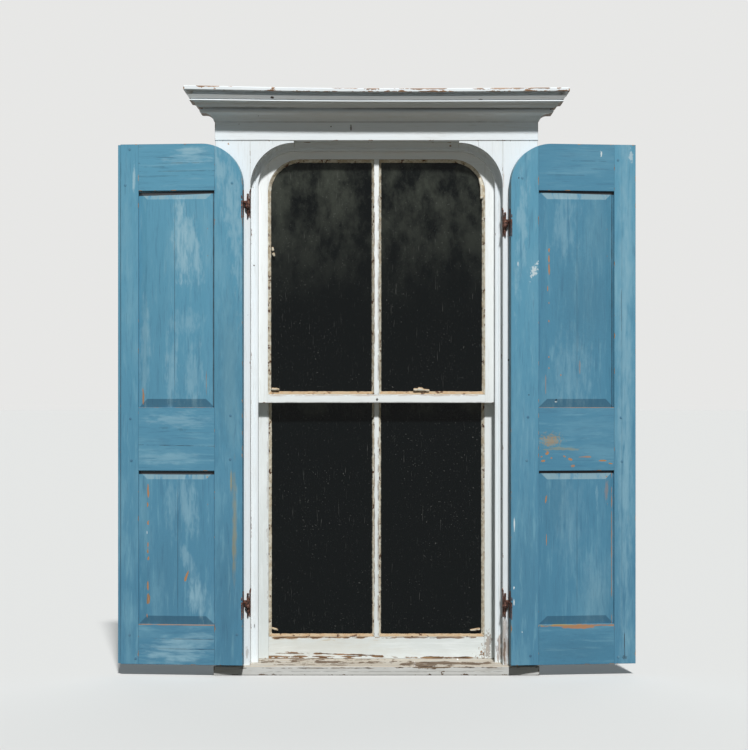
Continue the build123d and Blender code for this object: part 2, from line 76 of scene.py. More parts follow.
Colour = tuple[float, float, float, float]
Band = tuple[float, float]        # the range over which an effect comes in, either way round
Place = tuple[float, float]       # column and row in the photograph
Bar = tuple[float, ...]           # a tapered bar: its two ends and its two radii
Piece = bpy.types.Object
Material = bpy.types.Material
Socket = bpy.types.NodeSocket

NOISE: Band = (0.3, 0.7)          # where nearly all of a noise's values lie


def tint(*levels: float) -> Colour:
    """Gives the linear colour of a paint that reads so on a screen.

    Args:
        levels: Red, green and blue on the screen, from 0 to 255.

    Returns:
        The colour that a material takes.
    """
    shares = [level / 255 for level in levels]
    linear = [share / 12.92 if share <= 0.04045 else ((share + 0.055) / 1.055) ** 2.4 for share in shares]
    return (*linear, 1.0)


@dataclass(frozen=True)
class Photo:
    """The camera that took the photograph, and where its pixels fall."""

    width: float = 748.0
    height: float = 750.0
    middle_x: float = 376.5       # column of the window's centre line
    level_y: float = 383.6        # row at the camera's height
    eye: tuple[float, float, float] = (0.0, -6.032, 0.888)
    distance: float = 6.0         # from the camera to the casings' face
    pixel: float = 0.00305        # metres across one pixel at that face
    sensor: float = 36.0          # width of the camera's sensor, in millimetres

    def on_plane(self, x: float, y: float, point: Vector, normal: Vector) -> Vector:
        """Finds the point of a plane that a pixel shows.

        Args:
            x, y: Column and row of the pixel.
            point: Any point of the plane.
            normal: The plane's normal.

        Returns:
            The point, in metres.
        """
        eye = Vector(self.eye)
        ray = Vector(((x - self.middle_x) * self.pixel, self.distance, (self.level_y - y) * self.pixel))
        return eye + ray * ((point - eye).dot(normal) / ray.dot(normal))

    def at(self, x: float, y: float, depth: float) -> Vector:
        """Finds the point that a pixel shows at a depth behind the object's zero plane."""
        return self.on_plane(x, y, Vector((0.0, depth, 0.0)), Vector((0.0, 1.0, 0.0)))

    def set_camera(self) -> None:
        """Sets the scene's camera where the photograph was taken."""
        Bench.clear()
        bpy.ops.object.camera_add(location=self.eye, rotation=(math.radians(90.0), 0.0, 0.0))
        camera = bpy.context.object
        camera.name = "photo_camera"
        camera.data.sensor_fit = "HORIZONTAL"
        camera.data.sensor_width = self.sensor
        camera.data.lens = self.sensor * self.distance / (self.width * self.pixel)
        camera.data.shift_x = -(self.middle_x - self.width / 2) / self.width
        camera.data.shift_y = (self.level_y - self.height / 2) / self.width
        bpy.context.scene.camera = camera


PHOTO = Photo()


@dataclass(frozen=True)
class Lamp:
    """A far lamp."""

    name: str
    turn: float                   # degrees to the right of the camera
    height: float                 # degrees above the floor
    strength: float
    angle: float                  # its width as the object sees it, in degrees
    colour: tuple[float, float, float] = (1.0, 0.995, 0.985)

    def build(self) -> None:
        """Makes the lamp."""
        Bench.clear()
        bpy.ops.object.light_add(type="SUN", location=(0.0, 0.0, 5.0))
        lamp = bpy.context.object
        lamp.name = self.name
        lamp.rotation_euler = (math.radians(90.0 - self.height), 0.0, math.radians(self.turn))
        lamp.data.energy = self.strength
        lamp.data.angle = math.radians(self.angle)
        lamp.data.color = self.colour


@dataclass
class Studio:
    """A wide pale floor, a soft high lamp from the front, a weak one from behind and a dim sky."""

    lamps: tuple[Lamp, ...] = (
        Lamp("high_lamp", 8.0, 50.0, 3.85, 4.0),
        Lamp("back_lamp", 172.0, 35.0, 0.6, 60.0),
    )
    floor_side: float = 120.0
    floor_cuts: int = 3
    paper: Colour = (0.67, 0.67, 0.66, 1.0)
    paper_thrown: Colour = (0.110, 0.092, 0.066, 1.0)   # what the floor throws back on the object
    paper_cells: float = 40.0     # of its grain, to the metre
    paper_roughness: tuple[float, float] = (0.9, 1.0)
    backdrop: Colour = (0.80, 0.80, 0.79, 1.0)
    sky: Colour = (0.120, 0.145, 0.160, 1.0)            # what the sky lights the object with

    def build(self) -> None:
        """Makes the floor, the lamps, the sky and the camera."""
        self.make_floor()
        for lamp in self.lamps:
            lamp.build()
        self.make_sky()
        PHOTO.set_camera()
        bpy.context.scene.view_settings.view_transform = "Standard"
        log.info("studio: floor, lamps, sky and camera")

    @staticmethod
    def seen(graph: Graph) -> Socket:
        """Tells the rays that show the stage itself from those that light the object.

        Args:
            graph: The graph of the stage's material or of the world.

        Returns:
            1 for the rays that show the stage, and 0 for the others.
        """
        path = graph.node("ShaderNodeLightPath").outputs
        seen = graph.math("MAXIMUM", path["Is Camera Ray"], path["Is Glossy Ray"])
        return graph.math("MAXIMUM", seen, path["Is Transmission Ray"])

    def make_floor(self) -> None:
        """Makes the floor of paper, pale to the camera and dim as a source of light."""
        Bench.clear()
        bpy.ops.mesh.primitive_plane_add(size=self.floor_side, location=(0.0, 0.0, 0.0))
        floor = bpy.context.object
        floor.name = "floor_paper"
        with Bench.editing(floor):
            bpy.ops.mesh.subdivide(number_cuts=self.floor_cuts)
        coat = Coat(floor.name)
        grain = coat.noise(coat.points["Object"], self.paper_cells, 3.0)
        Bench.wear(floor, coat.dressed(
            Base_Color=coat.mix(self.seen(coat), self.paper_thrown, self.paper),
            Roughness=coat.remap(grain, *NOISE, *self.paper_roughness),
            Specular_IOR_Level=0.0))

    def make_sky(self) -> None:
        """Gives the world a dim light, and a pale backdrop to the camera and in reflections."""
        world = bpy.data.worlds.new("sky")
        bpy.context.scene.world = world
        world.use_nodes = True
        graph = Graph(world.node_tree)
        background = graph.tree.nodes["Background"]
        graph.feed(background, Color=graph.mix(self.seen(graph), self.sky, self.backdrop), Strength=1.0)


class Picked(Enum):
    """What edit mode picks; the value is its name in a mesh."""

    VERT = "vertices"
    FACE = "polygons"


class Bench:
    """The modelling steps that the sub-assemblies share, with their sizes in metres and degrees."""

    same_point = 0.00002          # vertices closer than this are one
    same_plane = 0.5              # faces that meet flatter than this are one
    rounding = 0.0008             # width of the rounding of an edge, as paint and weather leave it
    rounded_from = 35.0           # least angle of an edge that is rounded
    bar_sides = 16
    bar_rounding = 0.4            # of a bar's ends, as a share of its thinner end's radius

    @staticmethod
    def clear() -> None:
        """Leaves edit mode and deselects everything."""
        if bpy.context.object and bpy.context.object.mode != "OBJECT":
            bpy.ops.object.mode_set(mode="OBJECT")
        bpy.ops.object.select_all(action="DESELECT")

    @staticmethod
    def take(*pieces: Piece) -> None:
        """Selects pieces alone and makes the first one active.

        Args:
            pieces: The pieces.
        """
        Bench.clear()
        for piece in pieces:
            piece.select_set(True)
        bpy.context.view_layer.objects.active = pieces[0]

    @staticmethod
    @contextmanager
    def editing(piece: Piece, kind: Picked = Picked.VERT,
                chosen: Sequence[int] | None = None) -> Iterator[None]:
        """Opens a piece in edit mode for the steps inside, and closes it again.

        Args:
            piece: The piece.
            kind: Whether vertices or faces are picked.
            chosen: The ones that are selected, or None for all.

        Yields:
            Nothing.
        """
        Bench.take(piece)
        bpy.ops.object.mode_set(mode="EDIT")
        bpy.ops.mesh.select_mode(type=kind.name)
        bpy.ops.mesh.select_all(action="SELECT" if chosen is None else "DESELECT")
        if chosen is not None:
            bpy.ops.object.mode_set(mode="OBJECT")
            for index in chosen:
                getattr(piece.data, kind.value)[index].select = True
            bpy.ops.object.mode_set(mode="EDIT")
        yield
        bpy.ops.object.mode_set(mode="OBJECT")

    @staticmethod
    def copy_of(node: str, name: str) -> Piece:
        """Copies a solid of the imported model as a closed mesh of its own.

        Args:
            node: The solid's name.
            name: The copy's name.

        Returns:
            The copy, free of the model's marks, with its loose triangles merged.
        """
        Bench.take(bpy.data.objects[node])
        bpy.ops.object.duplicate(linked=False)
        piece = bpy.context.object
        piece.name = name
        piece.parent = None
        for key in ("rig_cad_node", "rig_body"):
            if key in piece:
                del piece[key]
        with Bench.editing(piece):
            bpy.ops.mesh.remove_doubles(threshold=Bench.same_point)
            bpy.ops.mesh.dissolve_limited(angle_limit=math.radians(Bench.same_plane))
        bpy.ops.mesh.customdata_custom_splitnormals_clear()
        return piece

    @staticmethod
    def apply(piece: Piece, kind: str, **settings: object) -> None:
        """Adds a modifier to a piece and applies it.

        Args:
            piece: The piece.
            kind: The modifier's type.
            settings: The modifier's own settings.
        """
        Bench.take(piece)
        modifier = piece.modifiers.new(kind.lower(), kind)
        for key, value in settings.items():
            setattr(modifier, key, value)
        bpy.ops.object.modifier_apply(modifier=modifier.name)

    @staticmethod
    def soften(piece: Piece, crease: float) -> None:
        """Rounds a piece's edges as paint and weather do.

        Args:
            piece: The piece.
            crease: The least angle of an edge that stays crisp, in degrees.
        """
        Bench.apply(piece, "BEVEL", width=Bench.rounding, segments=2, limit_method="ANGLE",
                    angle_limit=math.radians(Bench.rounded_from))
        bpy.ops.object.shade_smooth_by_angle(angle=math.radians(crease))
        Bench.apply(piece, "WEIGHTED_NORMAL", keep_sharp=True, weight=60)

    @staticmethod
    def bar(start: Vector, end: Vector, first: float, last: float) -> Piece:
        """Makes a round tapered bar with rounded ends, to be fused with others.

        Args:
            start, end: The middles of its ends.
            first, last: Its radius at each end.

        Returns:
            The bar.
        """
        Bench.clear()
        along = end - start
        bpy.ops.mesh.primitive_cone_add(
            vertices=Bench.bar_sides, radius1=first, radius2=last, depth=along.length,
            location=(start + end) / 2, rotation=along.to_track_quat("Z", "Y").to_euler())
        piece = bpy.context.object
        bpy.ops.object.transform_apply()
        with Bench.editing(piece):
            bpy.ops.mesh.bevel(offset=min(first, last) * Bench.bar_rounding, segments=2, affect="EDGES")
        return piece

    @staticmethod
    def join(pieces: list[Piece]) -> Piece:
        """Joins pieces into the first one.

        Args:
            pieces: The pieces.

        Returns:
            The first piece, with the others in it.
        """
        Bench.take(*pieces)
        if len(pieces) > 1:
            bpy.ops.object.join()
        return pieces[0]

    @staticmethod
    def fuse(pieces: list[Piece], voxel: float) -> Piece:
        """Joins pieces and melts them into one skin.

        Args:
            pieces: The pieces.
            voxel: Size of the skin's faces, in metres.

        Returns:
            The fused piece.
        """
        piece = Bench.join(pieces)
        Bench.apply(piece, "REMESH", mode="VOXEL", voxel_size=voxel, use_smooth_shade=True)
        return piece

    @staticmethod
    def roughen(piece: Piece, depth: float, size: float) -> None:
        """Makes a piece's skin uneven.

        Args:
            piece: The piece.
            depth: Height of the unevenness, in metres.
            size: Its width, in metres.
        """
        cloud = bpy.data.textures.new("unevenness", "CLOUDS")
        cloud.noise_scale = size
        cloud.noise_depth = 3
        Bench.apply(piece, "DISPLACE", texture=cloud, texture_coords="LOCAL", strength=depth, mid_level=0.5)

    @staticmethod
    def wear(piece: Piece, material: Material) -> None:
        """Gives a piece one material, and no other."""
        piece.data.materials.clear()
        piece.data.materials.append(material)

    @staticmethod
    def settle(piece: Piece, body: str, slot: str, material: Material, replaced: str | None = None) -> None:
        """Gives a piece its finish and lets it move with its body.

        Args:
            piece: The piece.
            body: The body that it rides on.
            slot: The record's slot of its finish; not used.
            material: Its material.
            replaced: The solid that it stands for, if any.
        """
        Bench.wear(piece, material)
        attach(piece, body)
        if replaced:
            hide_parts(replaced)


class Graph:
    """Short calls for the nodes of one material or node group."""

    def __init__(self, tree: bpy.types.NodeTree) -> None:
        """Keeps the tree that the calls add to."""
        self.tree = tree

    def node(self, kind: str, **settings: object) -> bpy.types.Node:
        """Adds a node.

        Args:
            kind: The node's type.
            settings: Its own settings.

        Returns:
            The node.
        """
        node = self.tree.nodes.new(kind)
        for key, value in settings.items():
            setattr(node, key, value)
        return node

    def put(self, socket: Socket, value: object) -> None:
        """Feeds an input.

        Args:
            socket: The input.
            value: The socket that it is linked to, or the value that it is set to.
        """
        if isinstance(value, Socket):
            self.tree.links.new(value, socket)
        else:
            socket.default_value = value

    def feed(self, node: bpy.types.Node, **values: object) -> bpy.types.Node:
        """Feeds a node's inputs by name.

        Args:
            node: The node.
            values: Sockets or values, by the inputs' names with _ for a space.

        Returns:
            The node.
        """
        for key, value in values.items():
            self.put(node.inputs[key.replace("_", " ")], value)
        return node

    def math(self, operation: str, *values: object) -> Socket:
        """Adds a Math node.

        Args:
            operation: The node's operation.
            values: Its inputs, sockets or numbers.

        Returns:
            The result's socket.
        """
        node = self.node("ShaderNodeMath", operation=operation)
        for socket, value in zip(node.inputs, values):
            self.put(socket, value)
        return node.outputs[0]

    def vector(self, operation: str, *values: object) -> Socket:
        """Adds a Vector Math node.

        Args:
            operation: The node's operation.
            values: Its inputs.

        Returns:
            The result's socket, a number for a length.
        """
        node = self.node("ShaderNodeVectorMath", operation=operation)
        for socket, value in zip(node.inputs, values):
            self.put(socket, value)
        return node.outputs["Value" if operation == "LENGTH" else "Vector"]

    def parts(self, vector: Socket) -> Sequence[Socket]:
        """Gives the X, Y and Z of a vector."""
        return self.feed(self.node("ShaderNodeSeparateXYZ"), Vector=vector).outputs

    def mix(self, share: object, first: object, second: object) -> Socket:
        """Mixes two colours.

        Args:
            share: How much of the second colour shows, from 0 to 1.
            first, second: The colours.

        Returns:
            The result's socket.
        """
        node = self.node("ShaderNodeMix", data_type="RGBA")
        for index, value in ((0, share), (6, first), (7, second)):
            self.put(node.inputs[index], value)
        return node.outputs[2]

    def remap(self, value: object, low: object, high: object, to_low: float = 0.0,
              to_high: float = 1.0) -> Socket:
        """Maps a value smoothly from one range to another.

        Args:
            value: The value.
            low, high: The range that it comes from; turned round, the result falls as the value rises.
            to_low, to_high: The range that it goes to.

        Returns:
            The result's socket.
        """
        node = self.node("ShaderNodeMapRange", interpolation_type="SMOOTHSTEP")
        for socket, item in zip(node.inputs, (value, low, high, to_low, to_high)):
            self.put(socket, item)
        return node.outputs[0]

    def within(self, value: object, band: Band, share: object) -> Socket:
        """Gives a share that comes in as a value crosses a band."""
        return self.math("MULTIPLY", self.remap(value, *band), share)

    def noise(self, vector: Socket, scale: object, detail: float = 2.0, roughness: float = 0.5) -> Socket:
        """Adds a Noise Texture and gives its value, about 0.3 to 0.7."""
        node = self.node("ShaderNodeTexNoise")
        return self.feed(node, Vector=vector, Scale=scale, Detail=detail, Roughness=roughness).outputs[0]

    def mapping(self, vector: Socket, location: object = (0.0, 0.0, 0.0), turn: object = (0.0, 0.0, 0.0),
                scale: object = (1.0, 1.0, 1.0), kind: str = "POINT") -> Socket:
        """Adds a Mapping node.

        Args:
            vector: The coordinates.
            location: The node's location.
            turn: Its rotation, in radians.
            scale: Its scale.
            kind: Its type.

        Returns:
            The mapped coordinates.
        """
        node = self.node("ShaderNodeMapping", vector_type=kind)
        return self.feed(node, Vector=vector, Location=location, Rotation=turn, Scale=scale).outputs[0]

    def group(self, tree: bpy.types.NodeTree, **values: object) -> Sequence[Socket]:
        """Places a node group with its values and gives its outputs."""
        return self.feed(self.node("ShaderNodeGroup", node_tree=tree), **values).outputs


class Coat(Graph):
    """A new material, with the calls for its nodes."""

    def __init__(self, name: str) -> None:
        """Makes the material with its shader.

        Args:
            name: The material's name.
        """
        self.material = bpy.data.materials.new(name)
        self.material.use_nodes = True
        super().__init__(self.material.node_tree)
        self.points = self.node("ShaderNodeTexCoord").outputs

    def bump(self, strength: float, distance: float, height: Socket) -> Socket:
        """Turns heights, a distance apart in metres, into normals."""
        node = self.node("ShaderNodeBump")
        return self.feed(node, Strength=strength, Distance=distance, Height=height).outputs[0]

    def dressed(self, **values: object) -> Material:
        """Puts values on the shader's inputs and gives the material."""
        self.feed(self.tree.nodes["Principled BSDF"], **values)
        return self.material


class Shelf:
    """The node groups that several finishes use, each built once."""

    @staticmethod
    def group(name: str, vectors: Sequence[str], numbers: Sequence[str],
              results: Sequence[str]) -> tuple[Graph, Sequence[Socket], Sequence[Socket]]:
        """Starts a node group.

        Args:
            name: The group's name.
            vectors, numbers: Its inputs of each kind.
            results: Its outputs, which are numbers.

        Returns:
            The group's graph, its input sockets and its output sockets, by name.
        """
        graph = Graph(bpy.data.node_groups.new(name, "ShaderNodeTree"))
        sockets = [(vectors, "INPUT", "Vector"), (numbers, "INPUT", "Float"), (results, "OUTPUT", "Float")]
        for names, way, kind in sockets:
            for key in names:
                graph.tree.interface.new_socket(name=key, in_out=way, socket_type=f"NodeSocket{kind}")
        return graph, graph.node("NodeGroupInput").outputs, graph.node("NodeGroupOutput").inputs

    @staticmethod
    @cache
    def grain() -> bpy.types.NodeTree:
        """Makes the group of brush and grain streaks.

        Returns:
            The group, whose streaks run along the vector's Z.
        """
        wander_cells, wander = (3.0, 3.0, 3.0), 0.02
        layers = {                # cells to the metre across and along the grain, detail and roughness
            "Broad": (11.0, 3.0, 5.0, 0.6),
            "Streak": (75.0, 8.0, 4.0, 0.62),
            "Fibre": (430.0, 22.0, 2.0, 0.6),
            "Line": (190.0, 11.0, 1.0, 0.5),
        }
        graph, given, out = Shelf.group("grain_streaks", ("Vector", "Seed"), (), tuple(layers))
        moved = graph.vector("ADD", given["Vector"], given["Seed"])
        bend = graph.noise(graph.mapping(moved, scale=wander_cells), 1.0, detail=1.0)
        shift = graph.node("ShaderNodeCombineXYZ")
        graph.feed(shift, X=graph.math("MULTIPLY", graph.math("SUBTRACT", bend, 0.5), wander))
        curved = graph.vector("ADD", moved, shift.outputs[0])
        for name, (across, along, detail, roughness) in layers.items():
            cells = graph.mapping(curved, scale=(across, across, along))
            graph.put(out[name], graph.noise(cells, 1.0, detail, roughness))
        return graph.tree

    @staticmethod
    @cache
    def edge() -> bpy.types.NodeTree:
        """Makes the group that measures how far a point of a board lies from the board's nearest edge.

        Returns:
            The group, which takes the point from the board's middle.
        """
        graph, given, out = Shelf.group("edge_distance", ("Vector", "Half size"), (), ("Distance",))
        first, second, third = graph.parts(
            graph.vector("SUBTRACT", given["Half size"], graph.vector("ABSOLUTE", given["Vector"])))
        low, high = graph.math("MINIMUM", first, second), graph.math("MAXIMUM", first, second)
        graph.put(out["Distance"], graph.math("MAXIMUM", low, graph.math("MINIMUM", high, third)))
        return graph.tree

    @staticmethod
    @cache
    def flaking() -> bpy.types.NodeTree:
        """Makes the group of flaked-off paint.

        Returns:
            The group, whose mask shows where a noise and what drives it exceed a level.
        """
        graph, given, out = Shelf.group("flaking", ("Vector",), ("Scale", "Level", "Drive"), ("Mask",))
        rim = 0.012               # of noise, over which the paint ends
        noise = graph.noise(given["Vector"], given["Scale"], detail=4.0, roughness=0.62)
        total = graph.math("ADD", noise, given["Drive"])
        graph.put(out["Mask"], graph.remap(graph.math("SUBTRACT", total, given["Level"]), 0.0, rim))
        return graph.tree

    @staticmethod
    @cache
    def spot() -> bpy.types.NodeTree:
        """Makes the group of one ragged mark.

        Returns:
            The group, whose mask is full at the mark's middle.
        """
        graph, given, out = Shelf.group("spot", ("Vector", "Centre", "Half size", "Turn"),
                                        ("Ragged", "Noise", "Soft"), ("Mask",))
        local = graph.mapping(given["Vector"], given["Centre"], given["Turn"], given["Half size"], "TEXTURE")
        uneven = graph.math("MULTIPLY_ADD", given["Noise"], given["Ragged"], graph.vector("LENGTH", local))
        outer, inner = (graph.math(operation, 1.0, given["Soft"]) for operation in ("ADD", "SUBTRACT"))
        graph.put(out["Mask"], graph.remap(uneven, outer, inner))
        return graph.tree


class Grain(Enum):
    """The way a board's grain runs; the value is its turn about Y that brings the grain upright."""

    UPRIGHT = 0.0
    LEVEL = 90.0


class Wear(Enum):
    """What a mark on the paint shows."""

    BARE = "bare"                 # wood with its paint gone
    PALE = "pale"                 # white scrape or fleck
    FADED = "faded"               # paint brushed thin by the weather
    DARK = "dark"                 # crack, joint or soot, and painted shadow under rails and in recesses
    ORANGE = "orange"             # warm undercoat or wood showing
    OCHRE = "ochre"               # yellowish stain or worn wood through thin paint


@dataclass(frozen=True)
class Mark:
    """A mark on a board, by its place and half size in the photograph's pixels.

    A wash follows the brush, and so does a mark that is slender times as long as wide, or longer.
    """

    slender = 4.0

    kind: Wear
    x: float
    y: float
    wide: float
    high: float
    turn: float = 0.0             # degrees, clockwise
    strength: float = 1.0
    ragged: float = 0.8
    soft: float = 0.2
    deep: float = 0.03            # how far in the mark reaches, in metres
    back: float = 0.0             # how far behind the board's face its middle lies, in metres

    @property
    def along_grain(self) -> bool:
        """Tells whether the mark follows the brush."""
        short, long = sorted((self.wide, self.high))
        return self.kind is Wear.FADED or long > self.slender * short


Marks = dict[str, tuple[Mark, ...]]


def marks(**rows: list[tuple[float, ...]]) -> tuple[Mark, ...]:
    """Lists a board's marks.

    Args:
        rows: The marks of each kind of wear, each with Mark's values from x on, as far as they differ.

    Returns:
        The marks.
    """
    return tuple(Mark(Wear(kind), *values) for kind, places in rows.items() for values in places)


@dataclass(frozen=True)
class Board:
    """A painted board of the model, with the least angles of an edge that stays crisp, in degrees."""

    crisp = 28.0
    crisp_panel = 6.0             # a raised panel's bevels are flat

    node: str
    grain: Grain
    marks: tuple[Mark, ...] = ()

    @property
    def crease(self) -> float:
        """Gives the board's least angle of a crisp edge."""
        return self.crisp_panel if "panel" in self.node else self.crisp

    @classmethod
    def each(cls, start: str, names: dict[Grain, Sequence[str]], worn: Marks) -> list[Board]:
        """Lists the boards of a sub-assembly.

        Args:
            start: What their nodes' names start with.
            names: The rest of the names, by the way that the grain runs.
            worn: The marks of the boards that have any.

        Returns:
            The boards.
        """
        return [cls(start + name, grain, worn.get(name, ()))
                for grain, group in names.items() for name in group]


@dataclass(frozen=True)
class Lie:
    """How a board lies: its box, once it is turned parallel to the X axis."""

    turn: float                   # the turn that brings it there, in radians
    centre: Vector
    half: Vector                  # half of the box's size

    @classmethod
    def of(cls, piece: Piece, turn: float) -> Lie:
        """Measures a piece after a turn.

        Args:
            piece: The piece.
            turn: The turn, in radians.

        Returns:
            How the piece lies.
        """
        spin = Matrix.Rotation(turn, 3, "Z")
        axes = list(zip(*(spin @ vertex.co for vertex in piece.data.vertices)))
        low, high = Vector([min(axis) for axis in axes]), Vector([max(axis) for axis in axes])
        return cls(turn, (low + high) / 2, (high - low) / 2)

    def middle_of(self, mark: Mark) -> Vector:
        """Finds the middle of a mark.

        Args:
            mark: The mark.

        Returns:
            Its place from the middle of the turned board.
        """
        spin = Matrix.Rotation(self.turn, 3, "Z")
        face = spin.transposed() @ (self.centre - Vector((0.0, self.half.y, 0.0)))
        normal = spin.transposed() @ Vector((0.0, 1.0, 0.0))
        return spin @ PHOTO.on_plane(mark.x, mark.y, face + normal * mark.back, normal) - self.centre


@dataclass(frozen=True)
class Paint:
    """Old brushed paint on wood, with its colours and its wear."""

    name: str
    slot: str
    upper: Colour                 # fresh from the top of the object
    lower: Colour                 # near its foot
    faded: Colour
    stained: Colour
    washed: Colour                # where the weather has thinned it most
    pale: Colour
    dark: Colour
    orange: Colour
    ochre: Colour
    wood: Colour
    wood_dark: Colour
    # colour of dust on faces that look up; on the blue paint it is painted highlight
    dusty: Colour = (0.5, 0.5, 0.5, 1.0)
    fade: float = 0.35
    stain: float = 0.22
    line: float = 0.28            # fine dark grain lines
    joint: float = 0.45           # dark line along a board's edges
    dust: float = 0.0             # what settles on faces that look up; on the blue paint it serves as painted highlight
    soot: float = 0.0             # painted shade on faces that look down
    flake_level: float = 0.74     # noise above this has lost its paint
    flake_scale: float = 60.0
    flake_stretch: float = 0.45   # of the flakes, along the grain
    edge_reach: float = 0.004     # how far edge wear comes in
    edge_drive: float = 0.16
    roughness: float = 0.62
    wood_roughness: float = 0.9
    strength: float = 0.5         # of the relief
    height: float = 0.0006        # of the relief, in metres
    paint_lost: float = -0.5      # height of bare wood, next to the streaks'
    fibre_height: float = 0.35    # and of the fibres
    heights: Band = (0.05, 1.6)   # where the lower colour gives way to the upper one, in metres
    seed_step: float = 7.3        # moves the streaks from board to board
    broad_fade: Band = (0.48, 0.72)
    streak_fade: Band = (0.52, 0.74)
    streak_stain: Band = (0.46, 0.27)
    fibre_stain: Band = (0.42, 0.26)
    line_stain: Band = (0.34, 0.27)
    looks_up: Band = (0.12, 0.2)  # of the normal's Z
    looks_down: Band = (-0.12, -0.2)
    joint_at: Band = (0.0022, 0.0008)   # metres from the edge
    streak_dust: Band = (0.3, 0.5)      # the streaks that break dust and joint lines up
    streak_wash: Band = (0.28, 0.56)    # and those that break washes up
    fibre_wood: Band = (0.35, 0.65)
    speckle: float = 160.0        # cells of a compact mark's edge, to the metre
    brush: tuple[float, float] = (80.0, 26.0)   # the same for a mark along the grain, across and along it
    ragged_reach: float = 4.0     # of a ragged mark's edge, as its noise swings by 1

    def cover(self, board: Board, piece: Piece, body: str, turn: float = 0.0) -> None:
        """Softens and paints the piece that stands for a board.

        Args:
            board: The board.
            piece: The piece.
            body: The body that it rides on.
            turn: The angle that brings the board parallel to the X axis, in radians.
        """
        Bench.soften(piece, board.crease)
        Bench.settle(piece, body, self.slot, self.material(board, piece, turn), board.node)

    def material(self, board: Board, piece: Piece, turn: float = 0.0) -> Material:
        """Makes the paint of one board.

        Args:
            board: The board, with its grain and its marks.
            piece: The object that shows it.
            turn: The angle that brings the board parallel to the X axis, in radians.

        Returns:
            The material.
        """
        lie = Lie.of(piece, turn)
        coat = Coat(f"{self.name}_{board.node}")
        local = coat.mapping(coat.points["Object"], tuple(-lie.centre), (0.0, 0.0, turn))
        upright = coat.mapping(local, turn=(0.0, math.radians(board.grain.value), 0.0))
        seed = tuple(round(value * self.seed_step, 3) for value in lie.centre)
        streaks = coat.group(Shelf.grain(), Vector=upright, Seed=seed)
        edge = coat.group(Shelf.edge(), Vector=local, Half_size=tuple(lie.half))[0]
        drive = coat.within(edge, (self.edge_reach, 0.0), self.edge_drive)
        flakes = coat.mapping(upright, scale=(1.0, 1.0, self.flake_stretch))
        bare = coat.group(Shelf.flaking(), Vector=flakes, Scale=self.flake_scale, Level=self.flake_level,
                          Drive=drive)[0]
        worn = self.masks(coat, board, local, lie)
        if Wear.BARE in worn:
            bare = coat.math("MAXIMUM", bare, worn[Wear.BARE])
        if Wear.FADED in worn:
            worn[Wear.FADED] = coat.within(streaks["Streak"], self.streak_wash, worn[Wear.FADED])

        colour = self.settled(coat, streaks, self.brushed(coat, streaks))
        joint = coat.within(edge, self.joint_at, self.joint)
        colour = coat.mix(coat.within(streaks["Streak"], self.streak_dust, joint), colour, self.stained)
        for kind, shade in ((Wear.FADED, self.washed), (Wear.OCHRE, self.ochre), (Wear.ORANGE, self.orange),
                            (Wear.PALE, self.pale), (Wear.DARK, self.dark)):
            if kind in worn:
                colour = coat.mix(worn[kind], colour, shade)
        wood = coat.mix(coat.remap(streaks["Fibre"], *self.fibre_wood), self.wood_dark, self.wood)
        relief = coat.math("MULTIPLY_ADD", streaks["Fibre"], self.fibre_height, streaks["Streak"])
        relief = coat.math("MULTIPLY_ADD", bare, self.paint_lost, relief)
        return coat.dressed(
            Base_Color=coat.mix(bare, colour, wood),
            Roughness=coat.remap(bare, 0.0, 1.0, self.roughness, self.wood_roughness),
            Normal=coat.bump(self.strength, self.height, relief))

    def brushed(self, coat: Coat, streaks: Sequence[Socket]) -> Socket:
        """Adds the paint's own colour, from the foot to the top, faded and stained in streaks.

        Args:
            coat: The material.
            streaks: The outputs of the streaks' group.

        Returns:
            The colour.
        """
        height = coat.parts(coat.points["Object"])[2]
        colour = coat.mix(coat.remap(height, *self.heights), self.lower, self.upper)
        for name, band, share, shade in (("Broad", self.broad_fade, self.fade, self.faded),
                                         ("Streak", self.streak_fade, self.fade, self.faded),
                                         ("Streak", self.streak_stain, self.stain, self.stained),
                                         ("Fibre", self.fibre_stain, self.stain, self.stained),
                                         ("Line", self.line_stain, self.line, self.stained)):
            colour = coat.mix(coat.within(streaks[name], band, share), colour, shade)
        return colour

    def settled(self, coat: Coat, streaks: Sequence[Socket], colour: Socket) -> Socket:
        """Lays dust on faces that look up, painted highlight on the blue paint, and painted shade on those
        that look down.

        Args:
            coat: The material.
            streaks: The outputs of the streaks' group.
            colour: The paint's colour.

        Returns:
            The colour with its dust, painted highlight and painted shade.
        """
        if not (self.dust or self.soot):
            return colour
        facing = coat.parts(coat.points["Normal"])[2]
        # dust on faces that look up; on the blue paint this is painted highlight
        dust = coat.within(facing, self.looks_up, self.dust)
        colour = coat.mix(coat.within(streaks["Streak"], self.streak_dust, dust), colour, self.dusty)
        # painted shade: faces that look down darken towards the stained colour
        return coat.mix(coat.within(facing, self.looks_down, self.soot), colour, self.stained)

